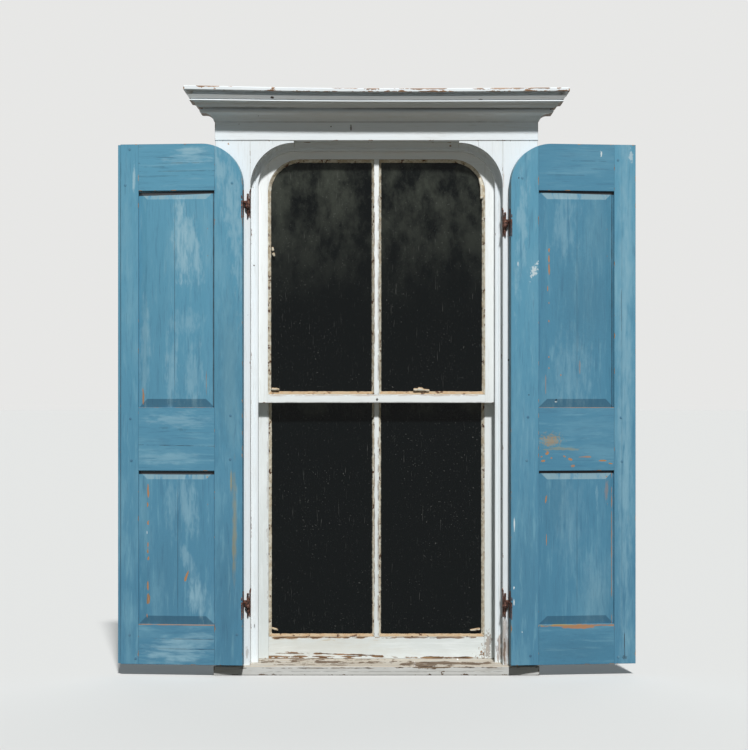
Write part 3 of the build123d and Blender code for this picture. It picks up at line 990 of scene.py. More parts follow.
    def masks(self, coat: Coat, board: Board, local: Socket, lie: Lie) -> dict[Wear, Socket]:
        """Adds a board's marks.

        Args:
            coat: The material.
            board: The board.
            local: The board's own coordinates, from its middle.
            lie: How the board lies.

        Returns:
            One mask for each kind of mark that the board has.
        """
        if not board.marks:
            return {}
        across, along = self.brush
        level = board.grain is Grain.LEVEL
        cells = (along, along, across) if level else (across, across, along)
        noises = {False: coat.noise(local, self.speckle, detail=3.0, roughness=0.6),
                  True: coat.noise(coat.mapping(local, scale=cells), 1.0, detail=4.0, roughness=0.6)}
        uneven = {key: coat.math("SUBTRACT", noise, 0.5) for key, noise in noises.items()}
        found: dict[Wear, Socket] = {}
        for mark in board.marks:
            spot = coat.group(
                Shelf.spot(), Vector=local, Centre=tuple(lie.middle_of(mark)),
                Half_size=(mark.wide * PHOTO.pixel, mark.deep, mark.high * PHOTO.pixel),
                Turn=(0.0, math.radians(mark.turn), 0.0), Soft=mark.soft,
                Ragged=mark.ragged * self.ragged_reach, Noise=uneven[mark.along_grain])[0]
            mask = coat.math("MULTIPLY", spot, mark.strength)
            found[mark.kind] = coat.math("MAXIMUM", found[mark.kind], mask) if mark.kind in found else mask
        return found


@dataclass(frozen=True)
class Pane:
    """Old glass, dull with dust, coloured near black as painted shade for the dark room behind it."""

    name: str = "dusty_glass"
    # near black: painted shade for the dark room behind the glass
    glass: Colour = (0.005, 0.007, 0.0075, 1.0)
    film: Colour = (0.060, 0.067, 0.055, 1.0)   # a thin grey film that is thicker high up
    dust: Colour = (0.30, 0.30, 0.28, 1.0)
    clear: float = 0.2
    gloss: float = 0.05
    index: float = 1.45
    film_cells: float = 13.0      # of the film's clouds, to the metre
    film_squeeze: float = 0.6     # of their cells, downwards
    cloud: Band = (0.36, 0.66)    # the noise over which the film thickens
    gather: tuple[float, ...] = (0.40, 0.66, 0.2, 1.0)      # and over which specks gather, from some to all
    specks: tuple[tuple[float, ...], ...] = (   # cells to the metre, across and down, detail and roughness,
        (210.0, 210.0, 2.0, 0.55, 0.66, 0.76, 0.5),         # then the noise that shows and its strength
        (420.0, 420.0, 1.0, 0.5, 0.71, 0.82, 0.3),
        (260.0, 22.0, 2.0, 0.5, 0.68, 0.78, 0.25),          # runs of rain
    )
    clean_roughness: float = 0.06
    film_roughness: float = 0.22
    wave_cells: float = 7.0       # of the glass's waves, to the metre
    wave_squeeze: float = 0.5
    wave_strength: float = 0.4
    wave_height: float = 0.002

    def material(self, seed: float, low: float, high: float) -> Material:
        """Makes the glass of one pair of panes.

        Args:
            seed: Moves the dust, so that no two pairs are alike.
            low, high: Heights between which the film thickens, in metres.

        Returns:
            The material.
        """
        coat = Coat(f"{self.name}_{round(seed * 10)}")
        moved = coat.mapping(coat.points["Object"], location=(seed, seed, 0.0))
        clouds = coat.mapping(moved, scale=(1.0, 1.0, self.film_squeeze))
        cloud = coat.noise(clouds, self.film_cells, detail=6.0, roughness=0.68)
        height = coat.parts(coat.points["Object"])[2]
        filmy = coat.within(height, (low, high), coat.remap(cloud, *self.cloud))
        dusty: object = 0.0
        for across, down, detail, roughness, start, full, share in self.specks:
            noise = coat.noise(coat.mapping(moved, scale=(across, across, down)), 1.0, detail, roughness)
            dusty = coat.math("MAXIMUM", dusty, coat.within(noise, (start, full), share))
        dusty = coat.math("MULTIPLY", dusty, coat.remap(cloud, *self.gather))
        wavy = coat.mapping(moved, scale=(1.0, 1.0, self.wave_squeeze))
        waves = coat.noise(wavy, self.wave_cells, detail=1.0)
        return coat.dressed(
            Base_Color=coat.mix(dusty, coat.mix(filmy, self.glass, self.film), self.dust),
            Roughness=coat.remap(filmy, 0.0, 1.0, self.clean_roughness, self.film_roughness),
            Transmission_Weight=self.clear, IOR=self.index, Specular_IOR_Level=self.gloss,
            Normal=coat.bump(self.wave_strength, self.wave_height, waves))


@dataclass(frozen=True)
class Crust:
    """A rough material with two colours and dark spots, such as putty or rusty iron."""

    name: str
    slot: str
    main: Colour
    other: Colour
    spots: Colour
    scale: float                  # cells of the clouds, to the metre
    spot_scale: float             # and of the spots
    spot_level: float             # noise above this is a spot
    roughness: float
    metallic: float
    height: float
    dusty: Colour | None = None   # what covers faces that look up
    roughness_spread: float = 0.12
    strength: float = 0.8         # of the relief
    spot_height: float = -0.4     # of the spots, next to the clouds
    cloud: Band = (0.38, 0.62)    # the noise over which one colour gives way to the other
    looks_up: Band = (0.15, 0.45)
    gather: tuple[float, ...] = (0.62, 0.42, 0.55, 1.0)     # and over which dust gathers, from some to all

    def material(self) -> Material:
        """Makes the material, or gives the one made before.

        Returns:
            The material.
        """
        if self.name in bpy.data.materials:
            return bpy.data.materials[self.name]
        coat = Coat(self.name)
        place = coat.points["Object"]
        cloud = coat.noise(place, self.scale, detail=5.0, roughness=0.65)
        spots = coat.group(Shelf.flaking(), Vector=place, Scale=self.spot_scale, Level=self.spot_level,
                           Drive=0.0)[0]
        colour = coat.mix(coat.remap(cloud, *self.cloud), self.main, self.other)
        if self.dusty:
            facing = coat.parts(coat.points["Normal"])[2]
            dust = coat.within(facing, self.looks_up, coat.remap(cloud, *self.gather))
            colour = coat.mix(dust, colour, self.dusty)
        low, high = self.roughness - self.roughness_spread, self.roughness + self.roughness_spread
        relief = coat.math("MULTIPLY_ADD", spots, self.spot_height, cloud)
        return coat.dressed(Base_Color=coat.mix(spots, colour, self.spots), Metallic=self.metallic,
                            Roughness=coat.remap(cloud, *NOISE, low, high),
                            Normal=coat.bump(self.strength, self.height, relief))


BLUE = Paint(
    name="blue", slot="shutter_paint", upper=tint(88, 151, 178), lower=tint(72, 128, 156),
    faded=tint(118, 168, 188), stained=tint(52, 98, 126), washed=tint(150, 188, 203),
    pale=tint(214, 226, 228), dark=tint(14, 20, 26), orange=tint(170, 122, 80), ochre=tint(160, 146, 92),
    # On this paint the dusty colour lightens faces that look up as painted highlight, and faces that look
    # down get painted shade.
    wood=tint(176, 142, 108), wood_dark=tint(120, 88, 62), dusty=tint(132, 158, 164),
    dust=0.6, soot=0.6, fade=0.48, stain=0.3,
)
BLUE_SHADED = replace(BLUE, name="blue_shaded", upper=tint(72, 133, 161), lower=tint(68, 125, 153),
                      fade=0.34)
PEG_BLUE = replace(BLUE, name="blue_peg", lower=BLUE.stained, upper=tint(78, 132, 158), line=0.5, dust=0.0)
WHITE = Paint(
    name="white", slot="frame_paint", upper=tint(239, 246, 250), lower=tint(230, 237, 240),
    faded=tint(246, 249, 250), stained=tint(200, 200, 194), washed=tint(250, 252, 252),
    pale=tint(252, 253, 253), dark=tint(46, 36, 30), orange=tint(176, 140, 104), ochre=tint(190, 170, 130),
    wood=tint(160, 128, 98), wood_dark=tint(92, 66, 48), line=0.2, flake_level=0.76,
)
BROWN = replace(WHITE, name="brown", slot="bare_wood", upper=tint(120, 100, 82), lower=tint(110, 92, 76),
                faded=tint(160, 140, 118), stained=tint(60, 46, 36), wood=tint(134, 112, 92),
                wood_dark=tint(70, 56, 46), line=0.28, flake_level=0.6)
CROWN_WHITE = replace(WHITE, name="white_crown", flake_level=0.68, edge_drive=0.2, edge_reach=0.008,
                      wood=tint(188, 150, 118), wood_dark=tint(122, 90, 66))
SASH_WHITE = replace(WHITE, name="white_sash", upper=tint(251, 255, 255), lower=tint(215, 221, 220),
                     faded=tint(244, 249, 250), wood=tint(150, 118, 86), wood_dark=tint(78, 54, 36),
                     flake_level=0.73, edge_drive=0.14)
SILL_WHITE = replace(WHITE, name="white_sill", upper=tint(200, 201, 198), lower=tint(198, 199, 196),
                     faded=tint(226, 227, 224), stained=tint(150, 142, 130), stain=0.4,
                     dusty=tint(180, 170, 154), dust=0.9, wood=tint(134, 116, 96),
                     wood_dark=tint(66, 50, 38), flake_level=0.69, edge_reach=0.008)
PUTTY = Crust("putty_old", "putty", tint(226, 221, 205), tint(192, 178, 152), tint(98, 70, 48),
              scale=60.0, spot_scale=55.0, spot_level=0.60, roughness=0.8, metallic=0.0, height=0.0012,
              dusty=tint(176, 148, 114))
IRON = Crust("iron_rusty", "rusty_iron", tint(112, 76, 64), tint(36, 25, 22), tint(168, 122, 100),
             scale=150.0, spot_scale=130.0, spot_level=0.62, roughness=0.7, metallic=0.25, height=0.0006)
LOCK = Crust("metal_dark", "lock_metal", tint(78, 70, 60), tint(56, 50, 44), tint(110, 92, 70),
             scale=80.0, spot_scale=150.0, spot_level=0.66, roughness=0.5, metallic=0.6, height=0.0003)


class Side(Enum):
    """A side of the window, seen from the street."""

    LEFT = (1.0, 5.5)
    RIGHT = (-1.0, 7.0)

    def __init__(self, inward: float, lean: float) -> None:
        """Keeps the side's values.

        Args:
            inward: 1 where the opening lies towards +X, else -1.
            lean: Degrees that the open leaf leans back from the casings' plane.
        """
        self.inward = inward
        self.lean = lean

    @property
    def word(self) -> str:
        """Gives the side's word in the names of nodes and pieces."""
        return self.name.lower()


@dataclass
class Shutter:
    """One leaf of the pair of shutters."""

    side: Side
    marks: Marks
    pegs: tuple[Place, ...]
    peg_r: float = 0.0042
    peg_deep: float = 0.004
    peg_proud: float = 0.0004
    peg_sides: int = 18
    peg_inset: float = 0.35       # of its crisp edge, as a share of its radius
    peg_dome: float = 0.0003
    peg_front: float = 0.9        # a face whose normal points to the front by this share is the head

    @property
    def body(self) -> str:
        """Gives the body that the leaf rides on."""
        return f"{self.side.word}_shutter"

    @property
    def turn(self) -> float:
        """Gives the turn that brings the leaf parallel to the X axis, in radians."""
        return math.radians(self.side.lean * self.side.inward)

    def build(self) -> None:
        """Dresses the leaf's boards and its hinge leaves."""
        names = {Grain.UPRIGHT: ("hinge_stile", "meeting_stile", "upper_panel", "lower_panel"),
                 Grain.LEVEL: ("top_rail", "lock_rail", "bottom_rail")}
        for board in Board.each(f"{self.body}_", names, self.marks):
            piece = Bench.copy_of(board.node, f"{board.node}_boards")
            self.paint_of(board).cover(board, piece, self.body, self.turn)
        Bench.wear(bpy.data.objects[f"{self.body}_hinge_leaves"], IRON.material())
        self.drive_pegs()
        log.info("%s shutter: boards, pegs and hinge leaves", self.side.word)

    def paint_of(self, board: Board) -> Paint:
        """Gives a board's paint: the right leaf is deeper in colour inside its stiles."""
        return BLUE if self.side is Side.LEFT or "stile" in board.node else BLUE_SHADED

    def drive_pegs(self) -> None:
        """Makes the heads of the pegs that lock the tenons."""
        normal = Matrix.Rotation(self.turn, 3, "Z").transposed() @ Vector((0.0, 1.0, 0.0))
        stile = bpy.data.objects[f"{self.body}_hinge_stile"].data.vertices
        front = min((vertex.co for vertex in stile), key=lambda point: point.dot(normal))
        pegs = []
        for x, y in self.pegs:
            Bench.clear()
            bpy.ops.mesh.primitive_cylinder_add(
                vertices=self.peg_sides, radius=self.peg_r, depth=self.peg_deep,
                location=PHOTO.on_plane(x, y, front, normal), rotation=(math.radians(90.0), 0.0, -self.turn))
            peg = bpy.context.object
            bpy.ops.object.transform_apply()
            head = [face.index for face in peg.data.polygons if face.normal.dot(normal) < -self.peg_front]
            with Bench.editing(peg, Picked.FACE, head):
                bpy.ops.transform.translate(value=normal * (self.peg_deep / 2 - self.peg_proud))
                bpy.ops.mesh.inset(thickness=self.peg_r * self.peg_inset, depth=self.peg_dome)
            pegs.append(peg)
        piece = Bench.join(pegs)
        piece.name = f"{self.body}_pegs"
        board = Board(piece.name, Grain.UPRIGHT)
        Bench.settle(piece, self.body, BLUE.slot, PEG_BLUE.material(board, piece, self.turn))


@dataclass
class Sash:
    """One sliding sash with its glass."""

    name: str                     # "upper" or "lower"
    outer_rail: str               # the rail that doesn't meet the other sash
    seed: float
    film_from: float              # where the film on the glass starts to thicken, as a share of its height
    putty_depth: float            # of the putty's face, in metres
    lumps: tuple[Bar, ...]        # of putty, in the photograph's pixels
    marks: Marks
    putty_voxel: float = 0.0018
    putty_rough: tuple[tuple[float, float], ...] = ((0.0022, 0.012), (0.0012, 0.004))   # height and width

    @property
    def body(self) -> str:
        """Gives the body that the sash rides on."""
        return f"{self.name}_sash"

    def build(self) -> None:
        """Dresses the sash's boards, panes and putty."""
        names = {Grain.UPRIGHT: ("left_stile", "right_stile", "muntin"),
                 Grain.LEVEL: (self.outer_rail, "meeting_rail")}
        for board in Board.each(f"{self.name}_", names, self.marks):
            SASH_WHITE.cover(board, Bench.copy_of(board.node, f"{board.node}_wood"), self.body)
        low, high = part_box(f"{self.name}_panes")
        middle = low.z + (high.z - low.z) * self.film_from
        Bench.wear(bpy.data.objects[f"{self.name}_panes"], Pane().material(self.seed, middle, high.z))
        self.lay_putty()
        log.info("%s sash: boards, panes and putty", self.name)

    def lay_putty(self) -> None:
        """Makes the putty lumpy, with the lumps that stand out as short tapered bars."""
        piece = Bench.copy_of(f"{self.name}_putty", f"{self.name}_putty_lumpy")
        lumps = [Bench.bar(PHOTO.at(x0, y0, self.putty_depth), PHOTO.at(x1, y1, self.putty_depth),
                           first * PHOTO.pixel, last * PHOTO.pixel)
                 for x0, y0, x1, y1, first, last in self.lumps]
        piece = Bench.fuse([piece, *lumps], self.putty_voxel)
        for depth, size in self.putty_rough:
            Bench.roughen(piece, depth, size)
        Bench.settle(piece, self.body, PUTTY.slot, PUTTY.material(), f"{self.name}_putty")


@dataclass
class Frame:
    """The fixed frame with its crown and sill."""

    marks: Marks
    crown_foot: float = 1.6885    # the crown's sag starts here
    crown_top: float = 1.786
    crown_half: float = 0.581
    frieze_face: float = -0.034
    frieze_half: float = 0.493
    member_heights: Band = (0.053, 0.0735)   # of the crown's small members over its foot
    member_reach: float = 0.05    # they stand out from the frieze at least so far
    member_step: float = 0.008    # and are brought out by this
    mitre: float = 0.0005         # vertices nearer to the mitre than this move both ways
    sag: tuple[float, ...] = (0.0, 0.0085, 0.011, 0.010, 0.007)   # of the crown's top edge, left to right
    sag_steps: int = 20

    def build(self) -> None:
        """Dresses the frame's boards and its hinge halves."""
        sides = ("casing", "corner_block", "corner_stop", "outer_stop", "parting_bead", "inner_stop", "jamb")
        names = {Grain.LEVEL: ("crown_cap", "crown_moulding", "frieze_board", "head_outer_stop",
                               "head_inner_stop", "head_jamb", "sill"),
                 Grain.UPRIGHT: [f"{side.word}_{name}" for name in sides for side in Side]}
        for board in Board.each("", names, self.marks):
            self.dress(board, {"crown_cap": CROWN_WHITE, "sill": SILL_WHITE}.get(board.node, WHITE))
        for side in Side:
            self.dress(Board(f"{side.word}_crown_return", Grain.LEVEL), BROWN)
            Bench.wear(bpy.data.objects[f"{side.word}_frame_hinges"], IRON.material())
        log.info("frame: boards, crown and hinge halves")

    def dress(self, board: Board, finish: Paint) -> None:
        """Makes one board's softened copy in its paint, sagging where it belongs to the crown.

        Args:
            board: The board.
            finish: Its paint.
        """
        piece = Bench.copy_of(board.node, f"{board.node}_wood")
        if "crown" in board.node:
            self.bring_out(piece)
            self.let_sag(piece)
        finish.cover(board, piece, "frame")

    def bring_out(self, piece: Piece) -> None:
        """Moves the crown's small upper members out, to where the light catches them.

        Args:
            piece: A piece of the crown.
        """
        low, high = (self.crown_foot + height for height in self.member_heights)
        ahead, left, right = [], [], []
        for vertex in piece.data.vertices:
            out_front, out_side = self.frieze_face - vertex.co.y, abs(vertex.co.x) - self.frieze_half
            if not low < vertex.co.z < high or max(out_front, out_side) < self.member_reach:
                continue
            if out_front > out_side - self.mitre:
                ahead.append(vertex.index)
            if out_side > out_front - self.mitre:
                (left if vertex.co.x < 0 else right).append(vertex.index)
        ways = (ahead, (0.0, -1.0, 0.0)), (left, (-1.0, 0.0, 0.0)), (right, (1.0, 0.0, 0.0))
        for group, way in ways:
            if group:
                with Bench.editing(piece, Picked.VERT, group):
                    bpy.ops.transform.translate(value=Vector(way) * self.member_step)

    def let_sag(self, piece: Piece) -> None:
        """Bends a piece of the crown down along its length, by a lattice.

        Args:
            piece: The piece.
        """
        along = [vertex.co.x for vertex in piece.data.vertices]
        gap = 2 * self.crown_half / self.sag_steps
        places = [gap * step - self.crown_half for step in range(1, self.sag_steps)]
        with Bench.editing(piece):
            for place in places:
                if min(along) < place < max(along):
                    bpy.ops.mesh.select_all(action="SELECT")
                    bpy.ops.mesh.bisect(plane_co=(place, 0.0, 0.0), plane_no=(1.0, 0.0, 0.0))
        Bench.clear()
        tall = self.crown_top - self.crown_foot
        bpy.ops.object.add(type="LATTICE", location=(0.0, 0.0, (self.crown_foot + self.crown_top) / 2))
        cage = bpy.context.object
        cage.scale = (2 * self.crown_half, 1.0, tall)
        cage.data.points_u, cage.data.points_v, cage.data.points_w = len(self.sag), 2, 2
        cage.data.interpolation_type_w = "KEY_LINEAR"
        for index, point in enumerate(cage.data.points):
            if index >= len(self.sag) * 2:
                point.co_deform.z -= self.sag[index % len(self.sag)] / tall
        Bench.apply(piece, "LATTICE", object=cage)
        bpy.data.objects.remove(cage)


@dataclass(frozen=True)
class Hinge:
    """One rusty cast hinge round the model's plain knuckle.

    Its bars are given in millimetres from the pin. The X axis runs towards the opening and the Y axis
    back from the casings' face. The half on the shutter keeps clear of the casing and the stops when
    the leaf is shut.
    """

    side: Side
    level: str                    # "upper" or "lower"
    height: float                 # middle of the knuckle
    pin_x: float = 0.392
    pin_y: float = -0.039
    skin: float = 0.0008          # size of the casting's faces
    grit: float = 0.004           # width of its unevenness
    cup_rough: float = 0.0014     # and its height
    eye_rough: float = 0.0008
    cup: tuple[Bar, ...] = (      # the half on the casing: its cup, leg, nub, pin and plate end
        (0, 0, -11.2, 0, 0, -0.8, 9.4, 9.0), (0, 0, -13.7, 0, 0, -9.2, 6.9, 8.9),
        (1, 2, -9, 0.5, 3.5, -34, 5.4, 3.2), (0.5, 3.5, -33, -1, 4, -41, 3.2, 2.2),
        (3, -3, -9, 9.5, -3.5, -10.5, 3.2, 2.2), (0, 0, -2, 0, 0, 30, 3.4, 3.1),
        (0, 0, 28, 0.4, 0, 33, 4.0, 2.6), (5, 5.5, 13, 7.5, 6.2, 38, 2.4, 1.6),
        (7.2, 6.2, 37, 8.2, 6.2, 47, 2.4, 2.0),
    )
    eye: tuple[Bar, ...] = (      # the half on the shutter: its eye, its arm and the strip that ends it
        (0, 0, 0.8, 0, 0, 11.0, 8.0, 7.8), (-1, 2.0, 5.0, -11.6, -1.8, 5.0, 4.2, 4.0),
        (-12.3, -2.4, 5.0, -12.6, -37.5, 4.6, 3.9, 3.7), (-12.4, -40.4, 14, -12.8, -40.4, 24, 2.1, 1.7),
        (-12.0, -40.2, 9, -12.4, -40.4, -8, 2.3, 2.1), (-12.2, -40.4, -6, -12.5, -40.4, -44, 2.0, 1.6),
        (-12.6, -37.0, 5.0, -12.4, -40.0, 4.6, 3.0, 2.2),
    )

    def build(self) -> None:
        """Casts both halves of the hinge."""
        tag = f"{self.side.word}_{self.level}_hinge"
        self.cast(f"{tag}_cup", self.cup, "frame", 0.0, self.cup_rough)
        self.cast(f"{tag}_eye", self.eye, f"{self.side.word}_shutter", self.side.lean, self.eye_rough)
        log.info("%s", tag)

    def cast(self, name: str, bars: tuple[Bar, ...], body: str, turn: float, rough: float) -> None:
        """Fuses tapered bars into one half of the hinge.

        Args:
            name: The piece's name.
            bars: The bars.
            body: The body that it rides on.
            turn: Degrees that the bars lean back with an open leaf.
            rough: Height of the casting's unevenness, in metres.
        """
        centre = Vector((-self.pin_x * self.side.inward, self.pin_y, self.height))
        spin = Matrix.Rotation(math.radians(-turn), 3, "Z")
        made = []
        for *ends, first, last in bars:
            start, end = (spin @ Vector(point) / 1000 for point in (ends[:3], ends[3:]))
            start.x, end.x = start.x * self.side.inward, end.x * self.side.inward
            made.append(Bench.bar(centre + start, centre + end, first / 1000, last / 1000))
        piece = Bench.fuse(made, self.skin)
        piece.name = name
        Bench.roughen(piece, rough, self.grit)
        Bench.settle(piece, body, IRON.slot, IRON.material())


@dataclass(frozen=True)
class SashLock:
    """The lock on the meeting rails and the finger lifts."""

    parts: tuple[str, ...] = ("sash_lock_base", "sash_lock_lever", "sash_lock_keeper", "sash_lifts")

    def build(self) -> None:
        """Dresses the lock and the lifts."""
        for part in self.parts:
            Bench.wear(bpy.data.objects[part], LOCK.material())
        log.info("sash lock: base, lever, keeper and lifts")


LEFT_MARKS: Marks = {
    "hinge_stile": marks(
        faded=[(224, 172, 8, 22, -24, 0.5, 1.4, 0.9), (231, 200, 8, 34, -12, 0.5, 1.4, 0.9),
               (236.5, 250, 4, 44, -4, 0.5, 1.4, 0.8)],
        dark=[(229, 372, 13, 66, 0, 0.16, 0.5, 0.9), (226, 600, 10, 70, 0, 0.14, 0.5, 0.9)],
        ochre=[(231, 481, 0.9, 9, 0, 0.6, 0.6, 0.5), (234.5, 528, 2, 42, 0, 0.5, 0.6, 0.7),
               (233.5, 548, 1.2, 24, 0, 0.5, 0.6, 0.6)]
    ),
    "meeting_stile": marks(
        bare=[(119.8, 381, 0.5, 1.5), (119.8, 405.5, 0.6, 2), (119.8, 452, 0.5, 1.5),
              (119.8, 471.5, 0.6, 1.5)],
        faded=[(134, 178, 1.3, 11, 0, 0.9, 0.8, 0.4)],
        # the long dark line is painted shadow along the rebate's step
        dark=[(120.6, 405, 0.5, 262, 0, 0.75, 0.1)]
    ),
    "top_rail": marks(
        faded=[(192, 155, 15, 7, 4, 0.75, 0.9, 0.6), (176, 159, 12, 4, 0, 0.45, 0.8, 0.6)],
        dark=[(172, 163, 27, 0.3, 0, 0.5, 1.2), (178, 171, 30, 0.3, 0, 0.45, 1.2),
              (163, 157.5, 16, 0.25, 0, 0.4, 1.2), (160, 176, 18, 0.25, 0, 0.4, 1.2),
              (153, 167, 10, 0.25, 0, 0.5, 1.2)]
    ),
    "upper_panel": marks(
        # the first dark mark is painted shadow under the top rail; the one at x 213.1 is the hinge stile's
        # painted shadow on the panel
        dark=[(176, 193.2, 75, 1.7, -1.4, 1, 0.05, 0.1), (155, 300, 14, 70, 0, 0.06, 0.5, 0.9),
              (174.7, 300, 0.3, 100, 0, 0.6, 0.2), (213.1, 300, 0.5, 170, 0, 0.9, 0.3)],
        faded=[(181, 240, 7, 33, -4, 0.8, 0.8, 0.6), (194, 248, 6, 26, -8, 0.65, 0.8, 0.6),
               (184, 322, 12, 9, -20, 0.35, 1, 0.7), (172, 372, 5, 32, 0, 0.4, 1, 0.7),
               (194, 376, 7, 24, 0, 0.35, 1, 0.7), (145, 350, 4, 40, 0, 0.35, 1, 0.7)],
        orange=[(143, 398, 1.1, 7, 0, 0.9)],
        bare=[(206.3, 378, 0.3, 13, 0, 0.7, 1.6)]
    ),
    "lock_rail": marks(
        orange=[(177, 407, 60, 0.6, 0, 0.8, 0.5)],
        dark=[(176, 445.5, 33, 0.3, 1, 0.6, 1.4), (165, 428, 4, 1.2, 0, 0.22, 0.8, 0.6),
              (181, 430, 4, 1.2, 0, 0.22, 0.8, 0.6)],
        faded=[(180, 420, 26, 6, 0, 0.4, 0.8, 0.6), (170, 458, 24, 5, 0, 0.3, 0.8, 0.6)]
    ),
    "lower_panel": marks(
        # the first dark mark is painted shadow under the lock rail; the one at x 216.9 is the hinge stile's
        # painted shadow on the panel
        dark=[(180, 473, 75, 1.6, 0, 1, 0.05, 0.1), (165, 580, 14, 40, 0, 0.07, 0.5, 0.9),
              (177.8, 550, 0.3, 68, 0, 0.6, 0.2), (216.9, 550, 0.45, 120, 0, 0.85, 0.3)],
        orange=[(148, 491, 0.9, 8), (147.5, 504.5, 0.8, 2.6), (148, 523, 0.8, 2.2), (148, 544.5, 0.8, 3.6),
                (148.5, 558, 0.8, 2.2), (148, 587, 0.8, 4.2), (147, 615.5, 0.6, 2.6),
                (186, 577.5, 1.3, 5.5, 20)],
        bare=[(147.8, 551, 0.8, 2.2), (148, 598.5, 1.4, 6)],
        pale=[(147, 532, 0.5, 2.2)],
        faded=[(198, 597, 8, 16, -20, 0.65, 0.7, 0.7), (186, 500, 9, 22, -12, 0.4, 0.9, 0.8),
               (187, 558, 4, 16, -25, 0.4, 0.8, 0.7), (172, 505, 6, 20, 0, 0.25, 1, 0.8)]
    ),
    "bottom_rail": marks(
        orange=[(180, 624.9, 60, 0.5, 0, 0.7, 0.6)],
        faded=[(176, 650, 26, 11, 0, 0.6, 0.6, 0.5), (196, 640, 15, 8, 0, 0.45, 0.6, 0.6)],
        dark=[(180, 639, 30, 0.25, 0, 0.5, 1.4), (180, 649, 30, 0.25, 0, 0.5, 1.4)]
    ),
}
RIGHT_MARKS: Marks = {
    "hinge_stile": marks(
        pale=[(534.5, 269.5, 2.4, 6, 20, 0.75, 1.5, 0.3), (518, 264, 0.8, 2, 0, 0.6), (522, 632, 0.8, 0.8),
              (514.2, 524, 0.6, 6), (514, 588, 0.5, 1.5), (514, 602.5, 0.5, 3)],
        dark=[(529, 395, 0.7, 0.7), (518.6, 178, 0.6, 0.9), (526, 570, 10, 60, 0, 0.07, 0.5, 0.9)],
        faded=[(522, 230, 4, 50, 3, 0.45, 1.2, 0.8), (526, 440, 9, 40, 0, 0.1, 0.8, 0.9)]
    ),
    "meeting_stile": marks(
        pale=[(631, 156, 1.8, 5, 0, 0.45, 0.8, 0.4)],
        dark=[(621.9, 405, 0.22, 258, 0, 0.35, 0.1), (624.5, 647, 0.35, 14, 0, 0.8),
              (624.5, 657.3, 2.2, 2.2, 0, 0.5), (621.5, 309, 0.6, 20, 0, 0.4)],
        faded=[(625, 380, 6, 230, 0, 0.42, 0.5, 0.9)]
    ),
    "top_rail": marks(
        pale=[(601.4, 153.7, 0.9, 2.4, 0, 0.9)],
        dark=[(590, 161, 14, 0.25, 0, 0.4, 1.4), (597, 169, 12, 0.25, 0, 0.4, 1.4),
              (566, 175, 18, 0.25, 0, 0.35, 1.4)]
    ),
    "upper_panel": marks(
        # the mark at 577, 192 is painted shadow under the top rail; the one at x 612.3 is the meeting
        # stile's painted shadow on the panel
        dark=[(588, 300, 26, 44, 0, 0.14, 0.5, 0.9), (600, 240, 16, 40, 0, 0.1, 0.5, 0.9),
              (577, 192, 75, 1.7, 1.4, 1, 0.05, 0.1), (612.3, 300, 0.5, 170, 0, 0.95, 0.3),
              (577, 300, 0.3, 96, 0, 0.4, 0.2), (556, 400, 0.8, 0.9)],
        faded=[(565, 225, 10, 26, 0, 0.3, 1, 0.8), (572, 372, 16, 28, 0, 0.22, 1, 0.8)],
        orange=[(549, 250, 0.7, 2.4), (549, 258, 0.8, 4.2), (549, 269.5, 0.7, 4.8), (547.7, 289, 0.5, 3.2),
                (549, 303, 0.5, 1), (549, 321, 0.5, 1), (549, 357, 0.5, 1), (549, 368, 0.5, 1),
                (545.8, 383, 0.4, 9, 0, 0.5), (560.7, 375, 0.6, 0.6), (579.7, 369, 0.8, 11, 0, 0.35)],
        # the pale mark just under the dark hole is a painted highlight on the hole's lower lip
        pale=[(556, 401.8, 1, 0.5)]
    ),
    "lock_rail": marks(
        orange=[(577, 407.2, 60, 0.6, 0, 0.85, 0.5), (550.5, 440, 6, 4, 0, 0.35, 1.6, 0.6),
                (547.5, 453, 1.4, 1.9, 30), (543, 461, 1.8, 1, -15), (541.7, 456.6, 0.8, 0.6),
                (551.5, 458, 0.8, 0.7), (570, 459.5, 2.2, 1.2, 20), (564.7, 456.6, 1.6, 0.6, 30),
                (572.7, 466, 2, 1.1, 0, 0.8), (584, 457, 5, 0.6, 0, 0.7, 1.6), (602, 460.6, 3.2, 0.7),
                (610.6, 463.5, 2, 0.5, 8)],
        ochre=[(550.5, 440, 8, 5, 0, 0.5, 1, 0.7), (562, 449, 10, 1.5, 0, 0.4, 1.6, 0.5)]
    ),
    "lower_panel": marks(
        faded=[(570, 520, 12, 34, 0, 0.18, 0.8, 0.9), (595, 585, 10, 26, 0, 0.2, 0.8, 0.9),
               (597, 493, 1.2, 12, 0, 0.35, 0.8, 0.5)],
        # the mark at 577, 471.8 is painted shadow under the lock rail
        dark=[(556, 500, 12, 30, 0, 0.1, 0.5, 0.9), (600, 600, 14, 24, 0, 0.08, 0.5, 0.9),
              (577, 471.8, 75, 1.6, 0, 1, 0.05, 0.1), (577, 548, 0.3, 66, 0, 0.4, 0.2)],
        orange=[(546, 499, 1, 4.8, 8), (546.5, 538, 0.35, 6), (612, 545, 0.45, 66, 0, 0.8),
                (606.5, 490, 1.6, 8, 0, 0.35, 1.4, 0.5)]
    ),
    "bottom_rail": marks(
        dark=[(577, 650, 44, 12, 0, 0.12, 0.5, 0.9)],
        ochre=[(562, 625.2, 22, 0.8, 0, 0.9, 0.6)],
        orange=[(577, 625.6, 37, 0.9, 0, 0.8), (577.5, 626.4, 17, 2.2, 0, 0.9, 0.6)]
    ),
}
LEFT_PEGS = ((129.7, 149.3), (125.3, 185.2), (130.4, 418.7), (131.4, 460.6), (230.5, 415.5),
             (230.2, 459.5), (129.5, 635), (236.9, 634.6), (135.5, 658.6), (232, 183))
